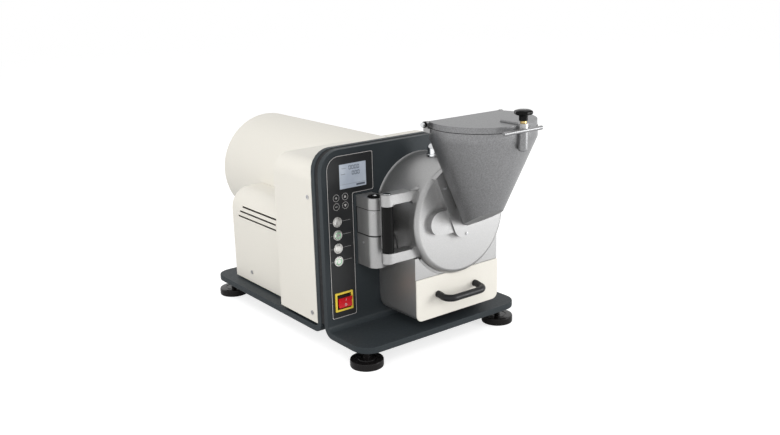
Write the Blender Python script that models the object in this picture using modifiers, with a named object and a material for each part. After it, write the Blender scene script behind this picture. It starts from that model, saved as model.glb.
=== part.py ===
# Disk mill with a hinged grinding chamber, a feed hopper and a collecting drawer.
# Metres, +Z up, the front with the hopper looks toward -Y.
# X = 0 is the middle of the plates, Y = 0 the front plate's face, Z = 0 the tray's top.
# At the end everything is moved so that the feet stand on Z = 0.
import bpy
import bmesh
from math import acos, atan2, cos, hypot, pi, radians, sin, tan
from mathutils import Matrix, Vector

# Running and resting gaps between separate pieces
GAP = 0.0003
PIN_CLEARANCE = 0.0003
OVERCUT = 0.002
SHEET = 0.002

# The two bent plates
PLATE_WIDTH = 0.440
PLATE_LEFT = -PLATE_WIDTH / 2
PLATE_THICKNESS = 0.0136
PLATE_TOP = 0.389
PLATE_CORNER = 0.045
PLATE_SPACING = 0.0127
BEND_RADIUS = 0.012
TRAY_DEPTH = 0.131
TRAY_CORNER = 0.040
BASE_REAR = 0.521
BASE_CORNER = 0.038
COVER_END_SPACE = 0.063
COVER_BACK_Y = BASE_REAR - COVER_END_SPACE
SEAL_INSET = 0.0015
FRONT_BACK = PLATE_THICKNESS
REAR_FRONT = PLATE_THICKNESS + PLATE_SPACING
REAR_BACK = REAR_FRONT + PLATE_THICKNESS

# Feet
FOOT_RADIUS = 0.0355
FOOT_HEIGHT = 0.0165
FOOT_EDGE = 0.0025
FOOT_STUD = 0.0065
FOOT_STUD_HEIGHT = 0.0232
FOOT_INSET = 0.033
FOOT_X = PLATE_WIDTH / 2 - FOOT_INSET
FRONT_FOOT_INSET = 0.039
REAR_FOOT_INSET = 0.036
FRONT_FOOT_Y = FRONT_FOOT_INSET - TRAY_DEPTH
REAR_FOOT_Y = BASE_REAR - REAR_FOOT_INSET

# Grinding axis, along Y
AXIS_FROM_LEFT = 0.256
AXIS_X = PLATE_LEFT + AXIS_FROM_LEFT
AXIS_Z = 0.2355

# Grinding chamber
CHAMBER_RADIUS = 0.119
CHAMBER_RIM_Y = -0.115
FLARE_RADIUS = 0.122
FLARE_DEPTH = 0.008
BOX_HALF = 0.116
BOX_BOTTOM = 0.0235
BOX_FRONT_Y = -0.125
BOX_CORNER = 0.014
BOX_BACK_CORNER = 0.030
RECESS_RADIUS = 0.1295
CAVITY_RADIUS = 0.108
CAVITY_BACK_Y = -0.012
BAY_HALF = 0.107
BAY_BOTTOM = 0.0305
BAY_TOP = 0.0995
BAY_BACK_Y = -0.022
CHUTE_HALF = 0.060
CHUTE_FRONT_Y = -0.105
CHUTE_BACK_Y = -0.030
CHUTE_TOP = 0.150
NOTCH_SPACE = 0.0017
NOTCH_REACH = 0.0135
CAP_Y = -0.052
CAP_RING_RADIUS = 0.0165
CAP_RING_HEIGHT = 0.004
CAP_RADIUS = 0.0145
CAP_DOME = 0.0115
CAP_HEIGHT = 0.0265

# Chamber door
DISH_RADIUS = 0.1235
DISH_FRONT_Y = -0.139
DISH_BACK_Y = -0.1155
DISH_ROUND = 0.010
DISC_SEAT_DEPTH = 0.008
BOSS_HALF = 0.093
BOSS_RADIUS = 0.0255
BOSS_FRONT_Y = -0.1512
PAD_INSET = 0.001
ARM_FRONT_Y = -0.1205
ARM_BACK_Y = -0.0929
ARM_END_REACH = 0.094
ARM_END_X = AXIS_X - ARM_END_REACH
UPPER_ARM = (0.2876, 0.308)
LOWER_ARM = (0.1645, 0.185)
KNUCKLE_RADIUS = 0.0138
UPPER_KNUCKLE = (0.284, 0.308)
LOWER_KNUCKLE = (0.1635, 0.1858)
THROAT_Z = 0.2385
THROAT_RADIUS = 0.0145

# Hinge between the front plate and the door
FIRST_PIN_SIDE = 0.039
SECOND_PIN_SIDE = 0.0548
FIRST_PIN_REACH = BOX_HALF + FIRST_PIN_SIDE
SECOND_PIN_REACH = BOX_HALF + SECOND_PIN_SIDE
FIRST_PIN = (AXIS_X - FIRST_PIN_REACH, -0.044)
SECOND_PIN = (AXIS_X - SECOND_PIN_REACH, -0.1067)
FIRST_PIN_RADIUS = 0.008
FIRST_HEAD_RADIUS = 0.0155
FIRST_HEAD_HEIGHT = 0.003
SOCKET_RADIUS = 0.004
SOCKET_DEPTH = 0.002
SECOND_PIN_RADIUS = 0.006
SECOND_HEAD_RADIUS = 0.0085
SECOND_HEAD_HEIGHT = 0.0012
NOSE_RADIUS = 0.020
BLOCK_LEFT = FIRST_PIN[0] - NOSE_RADIUS
BLOCK_BACK_Y = -0.0052
FLANGE_FROM_EDGE = 0.0775
FLANGE_LEFT = PLATE_LEFT + FLANGE_FROM_EDGE
HINGE_FLANGE_BOTTOM = 0.136
HINGE_FLANGE_TOP = 0.2905
BOTTOM_LEAF = (0.138, 0.2075)
MIDDLE_LEAF = (0.2075, 0.2635)
TOP_LEAF = (0.2635, 0.2885)
LEAF_GAP = 0.0006
WING_SPACE = 0.0035
WING_RIGHT = AXIS_X - BOX_HALF - WING_SPACE
WING_FRONT_Y = -0.052
LINK_BACK_Y = -0.0065
LINK_WINDOW_SIDE = 0.0105
LINK_WINDOW_RIGHT = FIRST_PIN[0] + LINK_WINDOW_SIDE
BARREL_RADIUS = 0.0121
NECK_LEFT_BACK = (FIRST_PIN[0], -0.0625)
NECK_LEFT_FRONT_SIDE = 0.0175
NECK_LEFT_FRONT = (FIRST_PIN[0] - NECK_LEFT_FRONT_SIDE, -0.0965)
NECK_RIGHT_FRONT = (FIRST_PIN[0], -0.0985)
NECK_RIGHT_BACK_SIDE = 0.0165
NECK_RIGHT_BACK = (FIRST_PIN[0] + NECK_RIGHT_BACK_SIDE, -0.0520)
WALL_LEFT_SIDE = 0.009
WALL_RIGHT_SIDE = 0.006
WALL_LEFT_BACK = (FIRST_PIN[0] - WALL_LEFT_SIDE, -0.074)
WALL_RIGHT_BACK = (FIRST_PIN[0] + WALL_RIGHT_SIDE, -0.080)
CABLE_RADIUS = 0.0016
CABLE_Y = -0.0965
CABLE_TOP_SIDE = 0.0035
CABLE_MIDDLE_SIDE = 0.0124
CABLE_BOTTOM_SIDE = 0.0156
CABLE_TOP = (FIRST_PIN[0] + CABLE_TOP_SIDE, 0.2260)
CABLE_MIDDLE = (FIRST_PIN[0] + CABLE_MIDDLE_SIDE, 0.2095)
CABLE_BOTTOM = (FIRST_PIN[0] + CABLE_BOTTOM_SIDE, 0.1896)

# Feed hopper and the flange that holds it on the door
HOPPER_BACK_Y = -0.155
HOPPER_WALL = 0.004
HOPPER_CENTRE_DEPTH = 0.0475
HOPPER_RIM_RADIUS = 0.1092
HOPPER_TOP = 0.439
HOPPER_BAND = 0.0205
HOPPER_BAND_BOTTOM = HOPPER_TOP - HOPPER_BAND
HOPPER_CONE_END = 0.2115
HOPPER_END_SHARE = 0.2321
HOPPER_FOLLOW_SHARE = 0.1545
HOPPER_FLOOR_Z = 0.217
HOPPER_FLOOR_SLOPE = 0.568
HOPPER_FLANGE = 0.0035
KEEL_RADIUS = 0.0173
KEEL_HALF = 0.0265
KEEL_TOP = 0.262
FLANGE_CORNER_SPACE = 0.0212
FLANGE_CORNER_Z = 0.334
FLANGE_TOP_OUT = 0.063
FLANGE_TOP_Z = 0.3468
FLANGE_FOOT_RADIUS = 0.0345
FLANGE_FOOT_Z = 0.2265
FLANGE_SCREW_SPACE = 0.0113
FLANGE_SCREW_Z = 0.3095
FLANGE_FOOT_SCREW_Z = 0.2021
SMALL_SCREW_RADIUS = 0.0035
SMALL_SCREW_HEIGHT = 0.0012
POST_RADIUS = 0.0099
POST_Y = -0.315
POST_HEIGHT = 0.038
POST_BOTTOM = HOPPER_TOP - POST_HEIGHT
POST_ROUND = 0.006
EAR_THICKNESS = 0.006
EAR_SPACE = 0.003
EAR_RADIUS = 0.0065
EAR_ROOT = 0.0085

# Hopper lid
LID_THICKNESS = 0.0122
LID_BOTTOM = HOPPER_TOP + GAP
LID_TOP = LID_BOTTOM + LID_THICKNESS
LID_INSET = 0.0012
LID_SKIN = 0.004
LID_BACK_Y = -0.1535
LID_POST_HEIGHT = 0.0164
LID_POST_TOP = LID_BOTTOM + LID_POST_HEIGHT
LID_EDGE = 0.0015
LID_HINGE_HALF = 0.0952
LID_HINGE_Y = -0.150
LID_HINGE_RISE = 0.007
LID_HINGE_Z = HOPPER_TOP + LID_HINGE_RISE
LID_HINGE_BACK = 0.0035
LID_BARREL_RADIUS = 0.0055
LID_PIN_RADIUS = 0.003
LID_PIN_HEAD_RADIUS = 0.005
LID_PIN_HEAD_LENGTH = 0.009
GRIP_OFFSET = 0.0083
GRIP_X = AXIS_X - GRIP_OFFSET
GRIP_HALF = 0.0509
GRIP_RADIUS = 0.004
GRIP_RISE = 0.004
GRIP_Z = HOPPER_TOP + GRIP_RISE
GRIP_Y = -0.3225
RIB_RADIUS = 0.003
RIB_BACK_Y = -0.2551
RIB_RISE = 0.001
RIB_Z = LID_TOP + RIB_RISE

# Clamp knob
CLAMP_SCREW_RADIUS = 0.004
CLAMP_SCREW_DIP = 0.007
CLAMP_SCREW_BOTTOM = HOPPER_TOP - CLAMP_SCREW_DIP
CLAMP_HOLE_RADIUS = 0.0048
CLAMP_HOLE_DIP = 0.015
CLAMP_HOLE_BOTTOM = HOPPER_TOP - CLAMP_HOLE_DIP
CLAMP_BUSH_RADIUS = 0.0062
KNOB_STEM_RADIUS = 0.0086
KNOB_RISE = 0.0048
KNOB_STEM_HEIGHT = 0.0115
KNOB_HEAD_HEIGHT = 0.0105
KNOB_STEM_BOTTOM = LID_POST_TOP + KNOB_RISE
KNOB_HEAD_BOTTOM = KNOB_STEM_BOTTOM + KNOB_STEM_HEIGHT
KNOB_TOP = KNOB_HEAD_BOTTOM + KNOB_HEAD_HEIGHT
KNOB_RADIUS = 0.0185
KNOB_LOBE = 0.0018
KNOB_EDGE = 0.0025

# Grinding discs and rotor
DISC_RADIUS = 0.100
FIXED_DISC_FACE_Y = -0.092
TURNING_DISC_FACE_Y = -0.090
DISC_THICKNESS = 0.0235
DISC_MOUTH_RADIUS = 0.0205
DISC_CONE_RADIUS = 0.072
DISC_CONE_DEPTH = 0.008
TURNING_MOUTH_RADIUS = 0.020
CARRIER_RADIUS = 0.045
CARRIER_NECK_RADIUS = 0.024
CARRIER_PLATE = 0.014
CARRIER_BACK_Y = -0.030
SHAFT_RADIUS = 0.015
SHAFT_END_Y = 0.612
ROTOR_CORE_RADIUS = 0.055
ROTOR_CORE = (0.270, 0.520)
SHAFT_HOLE_RADIUS = 0.0170
BEARING_RADIUS = 0.031
BEARING_BORE = 0.0153

# Motor, its supports and its cover
STATOR_RADIUS = 0.098
STATOR = (0.245, 0.540)
STATOR_WALL = 0.018
STATOR_BORE = 0.0565
SHIELD_END_Y = 0.555
SHIELD_HUB_RADIUS = 0.032
FAN_RADIUS = 0.088
FAN_HUB_RADIUS = 0.022
FAN = (0.575, 0.603)
FAN_PLATE = 0.003
FAN_VANE = 0.003
FAN_BLADES = 8
MOTOR_SEAT_HALF = 0.062
MOTOR_SEAT_LENGTH = 0.110
MOTOR_SEAT_END_SPACE = 0.058
MOTOR_SEAT = (COVER_BACK_Y - MOTOR_SEAT_END_SPACE - MOTOR_SEAT_LENGTH, COVER_BACK_Y - MOTOR_SEAT_END_SPACE)
MOTOR_COVER_Z = 0.2269
MOTOR_COVER_RADIUS = 0.1387
MOTOR_COVER_FRONT = REAR_BACK + GAP
MOTOR_COVER_END = 0.6657
MOTOR_COVER_ROUND = 0.012
GRILLE_RADIUS = 0.112
GRILLE_THICKNESS = 0.002
GRILLE_SLOT = 0.007
GRILLE_PITCH = 0.0185
GRILLE_RIM = 0.012

# White housing behind the plates
HOUSING_INSET = 0.0005
HOUSING_HALF = PLATE_WIDTH / 2 - HOUSING_INSET
HOUSING_FRONT_Y = REAR_BACK + 0.12 * PLATE_SPACING
HOUSING_BACK_Y = 0.193
HOUSING_BOTTOM = 0.007
HOUSING_DROP = 0.030
HOUSING_TOP = PLATE_TOP - HOUSING_DROP
HOUSING_CORNER = 0.040
COVER_INSET = 0.0295
COVER_HALF = HOUSING_HALF - COVER_INSET
COVER_FRONT_Y = 0.1933
COVER_BOTTOM = 0.004
COVER_TOP = 0.228
COVER_CORNER = 0.050
SLOT_HEIGHT = 0.0042
SLOT_FRONT_Y = 0.248
SLOTS = ((0.190, 0.408), (0.1775, 0.419), (0.1647, 0.428))
SIDE_SCREW_RADIUS = 0.005
SIDE_SCREW_HEIGHT = 0.0016
HOUSING_SCREWS = ((0.0562, 0.2865), (0.0594, 0.0274))
COVER_SCREW = (0.3766, 0.0308)
INLET_INSET = 0.070
INLET_X = COVER_HALF - INLET_INSET
INLET_Z = 0.052
INLET_HALF = (0.025, 0.0165)
INLET_BODY = (0.0155, 0.0125)
INLET_CAVITY = (0.0122, 0.0085)
INLET_CAVITY_DEPTH = 0.016
INLET_DEPTH = 0.024
INLET_FLANGE = 0.0025

# Collecting drawer
DRAWER_HALF = 0.1157
DRAWER_BOTTOM = 0.0228
DRAWER_TOP = 0.1154
DRAWER_CORNER = 0.014
DRAWER_PLATE = 0.003
DRAWER_SCALLOP_SPACE = 0.0015
TRAY_BOX_HALF = 0.104
TRAY_BOX_BOTTOM = 0.033
TRAY_BOX_TOP = 0.096
TRAY_BOX_BACK_Y = -0.026
HANDLE_OFFSET = 0.0056
HANDLE_X = AXIS_X - HANDLE_OFFSET
HANDLE_HALF = 0.0525
HANDLE_FOOT_Z = 0.0742
HANDLE_BAR_Y = -0.164
HANDLE_BAR_Z = 0.0712
HANDLE_RADIUS = 0.0075
HANDLE_BEND = 0.016

# Control panel
LABEL = 0.0008
LABEL_LEFT_FROM_EDGE = 0.012
LABEL_LEFT = PLATE_LEFT + LABEL_LEFT_FROM_EDGE
LABEL_RIGHT_FROM_EDGE = 0.0755
LABEL_RIGHT = PLATE_LEFT + LABEL_RIGHT_FROM_EDGE
LABEL_BOTTOM = 0.0245
LABEL_DROP = 0.0124
LABEL_TOP = PLATE_TOP - LABEL_DROP
LABEL_WIDE_RIGHT_FROM_EDGE = 0.1295
LABEL_WIDE_RIGHT = PLATE_LEFT + LABEL_WIDE_RIGHT_FROM_EDGE
LABEL_STEP_Z = 0.2925
LABEL_BIG_CORNER = 0.030
LABEL_SMALL_CORNER = 0.004
DISPLAY_LEFT = 0.044
DISPLAY_RIGHT = 0.1115
DISPLAY = ((PLATE_LEFT + DISPLAY_LEFT, PLATE_LEFT + DISPLAY_RIGHT), (0.305, 0.357))
DISPLAY_DEPTH = 0.004
DISPLAY_CORNER = 0.001
BUTTON_FROM_EDGE = 0.033
BUTTON_X = PLATE_LEFT + BUTTON_FROM_EDGE
BUTTON_ZS = (0.2376, 0.2089, 0.1802, 0.1520)
BEZEL_RADIUS = 0.011
BEZEL_BORE = 0.0086
BEZEL_HEIGHT = 0.0022
BUTTON_RADIUS = 0.0082
BUTTON_PROUD = 0.0030
BUTTON_DEPTH = 0.008
BUTTON_EDGE = 0.0006
SWITCH_LEFT = 0.0205
SWITCH_RIGHT = 0.065
OPENING_LEFT = 0.0278
OPENING_RIGHT = 0.0612
SWITCH_FRAME = ((PLATE_LEFT + SWITCH_LEFT, PLATE_LEFT + SWITCH_RIGHT), (0.040, 0.0815))
SWITCH_OPENING = ((PLATE_LEFT + OPENING_LEFT, PLATE_LEFT + OPENING_RIGHT), (0.0465, 0.0735))
SWITCH_FRAME_HEIGHT = 0.003
ROCKER_HALF = (0.0164, 0.0115)
ROCKER_FRONT = 0.0075
ROCKER_DIP = 0.0022
ROCKER_BACK = 0.005
ROCKER_BACK_SHARE = 0.55
ROCKER_TILT = radians(6)

# Facets
BIG_SIDES = 48
MID_SIDES = 24
SMALL_SIDES = 14
CORNER_STEPS = 6
SMALL_CORNER_STEPS = 3
KNOB_LOBES = 6
KNOB_SIDES = 48
SMOOTH_ANGLE = radians(35)

# Axis turns: an outline's first direction, its second and its thickness
TURNS = {
    "X": Matrix(((0, 0, 1, 0), (1, 0, 0, 0), (0, 1, 0, 0), (0, 0, 0, 1))),
    "Y": Matrix(((1, 0, 0, 0), (0, 0, -1, 0), (0, 1, 0, 0), (0, 0, 0, 1))),
    "Z": Matrix.Identity(4),
}


# Scene and collections
def clear_scene():
    for ob in list(bpy.data.objects):
        bpy.data.objects.remove(ob, do_unlink=True)


def new_collection(name):
    group = bpy.data.collections.new(name)
    bpy.context.scene.collection.children.link(group)
    return group


clear_scene()
PARTS = new_collection("disk_mill")
CUTTERS = new_collection("cutters")


# Materials
def material(name, colour, metallic=0.0, roughness=0.5, alpha=1.0):
    mat = bpy.data.materials.new(name)
    mat.use_nodes = True
    shader = mat.node_tree.nodes["Principled BSDF"]
    shader.inputs["Base Color"].default_value = (*colour, 1.0)
    shader.inputs["Metallic"].default_value = metallic
    shader.inputs["Roughness"].default_value = roughness
    shader.inputs["Alpha"].default_value = alpha
    return mat


def slate_coat(name):
    return material(name, (0.045, 0.055, 0.062), roughness=0.55)


def white_coat(name):
    return material(name, (0.78, 0.76, 0.70), roughness=0.5)


def silver_coat(name):
    return material(name, (0.36, 0.36, 0.37), metallic=0.2, roughness=0.5)


def bare_steel(name):
    return material(name, (0.62, 0.62, 0.63), metallic=1.0, roughness=0.3)


def tool_steel(name):
    return material(name, (0.42, 0.42, 0.43), metallic=1.0, roughness=0.4)


def cast_iron(name):
    return material(name, (0.12, 0.12, 0.13), metallic=0.6, roughness=0.6)


def black_plastic(name):
    return material(name, (0.012, 0.012, 0.013), roughness=0.35)


def black_rubber(name):
    return material(name, (0.02, 0.02, 0.02), roughness=0.8)


def brass(name):
    return material(name, (0.75, 0.55, 0.22), metallic=1.0, roughness=0.3)


# Building helpers
def place(name, mesh, group=None):
    """Make an object of a mesh in world places, with its origin in the middle."""
    lows = [min(v.co[i] for v in mesh.vertices) for i in range(3)]
    highs = [max(v.co[i] for v in mesh.vertices) for i in range(3)]
    middle = (Vector(lows) + Vector(highs)) / 2
    mesh.transform(Matrix.Translation(-middle))
    mesh.name = name
    mesh.shade_smooth()
    mesh.set_sharp_from_angle(angle=SMOOTH_ANGLE)
    ob = bpy.data.objects.new(name, mesh)
    ob.location = middle
    (group or PARTS).objects.link(ob)
    return ob


def pivot(ob, point):
    """Put the origin of an object on its joint axis."""
    move = ob.location - Vector(point)
    ob.data.transform(Matrix.Translation(move))
    ob.location = point


def rounded(corners, steps=CORNER_STEPS):
    """Outline of (x, y, radius) corners, with each corner rounded by its radius."""
    outline = []
    for index, (x, y, radius) in enumerate(corners):
        here = Vector((x, y))
        if radius == 0:
            outline.append((x, y))
            continue
        before = (Vector(corners[index - 1][:2]) - here).normalized()
        after = (Vector(corners[(index + 1) % len(corners)][:2]) - here).normalized()
        half = before.angle(after) / 2
        centre = here + (before + after).normalized() * (radius / sin(half))
        start = here + before * (radius / tan(half)) - centre
        end = here + after * (radius / tan(half)) - centre
        first = atan2(start.y, start.x)
        turn = (atan2(end.y, end.x) - first + pi) % (2 * pi) - pi
        for step in range(steps + 1):
            angle = first + turn * step / steps
            outline.append((centre.x + radius * cos(angle), centre.y + radius * sin(angle)))
    return outline


def arc(centre, radius, first, last, steps):
    """Points of a circle between two angles in degrees."""
    points = []
    for step in range(steps + 1):
        angle = radians(first + (last - first) * step / steps)
        points.append((centre[0] + radius * cos(angle), centre[1] + radius * sin(angle)))
    return points


def rectangle(xs, ys, radius=0, steps=CORNER_STEPS):
    (low_x, high_x), (low_y, high_y) = xs, ys
    corners = [(low_x, low_y, radius), (high_x, low_y, radius)]
    corners += [(high_x, high_y, radius), (low_x, high_y, radius)]
    return rounded(corners, steps)


def slab(name, outlines, axis, low, high):
    """Flat outlines filled and given a thickness along an axis."""
    curve = bpy.data.curves.new(name, "CURVE")
    curve.dimensions = "2D"
    curve.fill_mode = "BOTH"
    curve.extrude = (high - low) / 2
    for outline in outlines:
        spline = curve.splines.new("POLY")
        spline.points.add(len(outline) - 1)
        for point, (x, y) in zip(spline.points, outline):
            point.co = (x, y, 0, 1)
        spline.use_cyclic_u = True
    holder = bpy.data.objects.new(name, curve)
    CUTTERS.objects.link(holder)
    bpy.context.view_layer.update()
    mesh = bpy.data.meshes.new_from_object(holder)
    bpy.data.objects.remove(holder, do_unlink=True)
    bpy.data.curves.remove(curve)
    bm = bmesh.new()
    bm.from_mesh(mesh)
    bmesh.ops.remove_doubles(bm, verts=bm.verts, dist=GAP / 30)
    bmesh.ops.recalc_face_normals(bm, faces=bm.faces)
    bm.to_mesh(mesh)
    bm.free()
    mesh.transform(TURNS[axis])
    reach = {"X": Vector((1, 0, 0)), "Y": Vector((0, 1, 0)), "Z": Vector((0, 0, 1))}
    mesh.transform(Matrix.Translation(reach[axis] * (low + high) / 2))
    return place(name, mesh)


def box(name, xs, ys, zs):
    return boxes(name, [(xs, ys, zs)])


def boxes(name, spans):
    """One mesh of boxes, each given by its X, Y and Z spans."""
    bm = bmesh.new()
    for xs, ys, zs in spans:
        size = [span[1] - span[0] for span in (xs, ys, zs)]
        middle = [(span[1] + span[0]) / 2 for span in (xs, ys, zs)]
        matrix = Matrix.Translation(middle) @ Matrix.Diagonal((*size, 1))
        bmesh.ops.create_cube(bm, size=1, matrix=matrix)
    mesh = bpy.data.meshes.new(name)
    bm.to_mesh(mesh)
    bm.free()
    return place(name, mesh)


def rod(name, axis, centre, low, high, radius, sides=MID_SIDES, end_radius=None):
    """Round bar along an axis; the centre is given in the other two directions."""
    turns = {
        "X": Matrix.Rotation(pi / 2, 4, "Y"),
        "Y": Matrix.Rotation(-pi / 2, 4, "X"),
        "Z": Matrix.Identity(4),
    }
    middle = (low + high) / 2
    spots = {
        "X": (middle, centre[0], centre[1]),
        "Y": (centre[0], middle, centre[1]),
        "Z": (centre[0], centre[1], middle),
    }
    bm = bmesh.new()
    bmesh.ops.create_cone(
        bm,
        cap_ends=True,
        segments=sides,
        radius1=radius,
        radius2=radius if end_radius is None else end_radius,
        depth=high - low,
        matrix=Matrix.Translation(spots[axis]) @ turns[axis],
    )
    mesh = bpy.data.meshes.new(name)
    bm.to_mesh(mesh)
    bm.free()
    return place(name, mesh)


def turned(name, profile, at, lean=0.0, sides=MID_SIDES, closed=False):
    """Turned shape; the profile runs down its outer side, from top to bottom."""
    mesh = bpy.data.meshes.new(name)
    count = len(profile)
    edges = [(i, i + 1) for i in range(count - 1)]
    if closed:
        edges.append((count - 1, 0))
    mesh.from_pydata([(r, 0, h) for r, h in profile], edges, [])
    ob = bpy.data.objects.new(name, mesh)
    ob.location = at
    ob.rotation_euler = (lean, 0, 0)
    PARTS.objects.link(ob)
    screw = ob.modifiers.new("Turn", "SCREW")
    screw.axis = "Z"
    screw.angle = 2 * pi
    screw.steps = sides
    screw.render_steps = sides
    screw.use_merge_vertices = True
    screw.merge_threshold = GAP / 30
    screw.use_smooth_shade = True
    return ob


def turned_on_axis(name, profile, sides=BIG_SIDES, closed=False):
    """Turned shape round the grinding axis; heights run toward the front."""
    return turned(name, profile, (AXIS_X, 0, AXIS_Z), pi / 2, sides, closed)


def boolean(target, tool, operation):
    """Cut, join or keep the common part; the tool becomes a hidden cutter."""
    for group in list(tool.users_collection):
        group.objects.unlink(tool)
    CUTTERS.objects.link(tool)
    tool.hide_render = True
    tool.display_type = "WIRE"
    step = target.modifiers.new(tool.name, "BOOLEAN")
    step.object = tool
    step.operation = operation
    step.solver = "EXACT"


def cut(target, *tools):
    for tool in tools:
        boolean(target, tool, "DIFFERENCE")


def join(target, *tools):
    for tool in tools:
        boolean(target, tool, "UNION")


def keep_common(target, *tools):
    for tool in tools:
        boolean(target, tool, "INTERSECT")


def soften(ob, width, segments=2):
    edge = ob.modifiers.new("Edges", "BEVEL")
    edge.width = width
    edge.segments = segments
    edge.limit_method = "ANGLE"
    edge.angle_limit = SMOOTH_ANGLE


def paint(ob, mat):
    ob.data.materials.append(mat)
    return ob


# The two bent plates and the seal between them
def bent_profile(face_y, way, reach):
    """Outline of a bent plate in Y and Z; the foot runs from the face toward way."""
    middle_y = face_y + way * BEND_RADIUS
    outline = [(reach, 0)]
    for step in range(CORNER_STEPS + 1):
        angle = pi / 2 * step / CORNER_STEPS
        across = middle_y - way * BEND_RADIUS * sin(angle)
        outline.append((across, BEND_RADIUS * (1 - cos(angle))))
    outline.append((face_y, PLATE_TOP))
    outline.append((face_y - way * PLATE_THICKNESS, PLATE_TOP))
    outer = BEND_RADIUS + PLATE_THICKNESS
    for step in range(CORNER_STEPS, -1, -1):
        angle = pi / 2 * step / CORNER_STEPS
        outline.append((middle_y - way * outer * sin(angle), BEND_RADIUS - outer * cos(angle)))
    outline.append((reach, -PLATE_THICKNESS))
    return outline


def front_view_shape(name, inset, low_y, high_y):
    """Prism of the plates' shape seen from the front, with round top corners."""
    side = PLATE_WIDTH / 2 - inset
    top = PLATE_TOP - inset
    corner = PLATE_CORNER - inset
    bottom = -3 * PLATE_THICKNESS
    corners = [(-side, bottom, 0), (side, bottom, 0), (side, top, corner), (-side, top, corner)]
    return slab(name, [rounded(corners)], "Y", low_y, high_y)


def front_tray_plate():
    profile = bent_profile(0, -1, -TRAY_DEPTH)
    plate = slab("front_tray_plate", [profile], "X", -PLATE_WIDTH / 2, PLATE_WIDTH / 2)
    front_shape = front_view_shape("plate_front_shape", 0, -TRAY_DEPTH - OVERCUT, REAR_BACK)
    side = PLATE_WIDTH / 2
    back = 2 * PLATE_THICKNESS
    corners = [(-side, -TRAY_DEPTH, TRAY_CORNER), (side, -TRAY_DEPTH, TRAY_CORNER)]
    corners += [(side, back, 0), (-side, back, 0)]
    plan = slab("tray_plan", [rounded(corners)], "Z", -2 * PLATE_THICKNESS, 2 * PLATE_TOP)
    keep_common(plate, front_shape, plan)
    cut(plate, shaft_passage("front_plate_passage"))
    for index, height in enumerate(BUTTON_ZS):
        spot = (BUTTON_X, height)
        name = "button_hole_%d" % (index + 1)
        cut(plate, rod(name, "Y", spot, -OVERCUT, FRONT_BACK + OVERCUT, BEZEL_BORE, SMALL_SIDES))
    span = (-OVERCUT, FRONT_BACK + OVERCUT)
    cut(plate, box("switch_hole", SWITCH_OPENING[0], span, SWITCH_OPENING[1]))
    wide = [(low - GAP, high + GAP) for low, high in DISPLAY]
    cut(plate, box("display_hole", wide[0], span, wide[1]))
    return paint(plate, slate_coat("slate_front"))


def rear_base_plate():
    profile = bent_profile(REAR_BACK, 1, BASE_REAR)
    plate = slab("rear_base_plate", [profile], "X", -PLATE_WIDTH / 2, PLATE_WIDTH / 2)
    front_shape = front_view_shape("base_front_shape", 0, 0, BASE_REAR + OVERCUT)
    side = PLATE_WIDTH / 2
    corners = [(-side, 0, 0), (side, 0, 0)]
    corners += [(side, BASE_REAR, BASE_CORNER), (-side, BASE_REAR, BASE_CORNER)]
    plan = slab("base_plan", [rounded(corners)], "Z", -2 * PLATE_THICKNESS, 2 * PLATE_TOP)
    keep_common(plate, front_shape, plan)
    cut(plate, shaft_passage("rear_plate_passage"))
    return paint(plate, slate_coat("slate_rear"))


def shaft_passage(name):
    spot = (AXIS_X, AXIS_Z)
    radius = BEARING_RADIUS + GAP
    return rod(name, "Y", spot, -OVERCUT, REAR_BACK + OVERCUT, radius, MID_SIDES)


def plate_gap_seal():
    side = PLATE_WIDTH / 2 - SEAL_INSET
    top = PLATE_TOP - SEAL_INSET
    corner = PLATE_CORNER - SEAL_INSET
    bottom = BEND_RADIUS
    corners = [(-side, bottom, 0), (side, bottom, 0), (side, top, corner), (-side, top, corner)]
    seal = slab("plate_gap_seal", [rounded(corners)], "Y", FRONT_BACK + GAP, REAR_FRONT - GAP)
    cut(seal, shaft_passage("seal_passage"))
    return paint(seal, black_rubber("seal_black"))


# Feet
def foot(name, x, y):
    top = -PLATE_THICKNESS - GAP
    disc_top = -PLATE_THICKNESS - FOOT_STUD_HEIGHT
    bottom = disc_top - FOOT_HEIGHT
    profile = [
        (0, top),
        (FOOT_STUD, top),
        (FOOT_STUD, disc_top),
        (FOOT_RADIUS - FOOT_EDGE, disc_top),
        (FOOT_RADIUS, disc_top - FOOT_EDGE),
        (FOOT_RADIUS, bottom + FOOT_EDGE),
        (FOOT_RADIUS - FOOT_EDGE, bottom),
        (0, bottom),
    ]
    return paint(turned(name, profile, (x, y, 0)), black_rubber(name + "_rubber"))


def feet():
    foot("foot_front_left", -FOOT_X, FRONT_FOOT_Y)
    foot("foot_front_right", FOOT_X, FRONT_FOOT_Y)
    foot("foot_rear_left", -FOOT_X, REAR_FOOT_Y)
    foot("foot_rear_right", FOOT_X, REAR_FOOT_Y)


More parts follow.
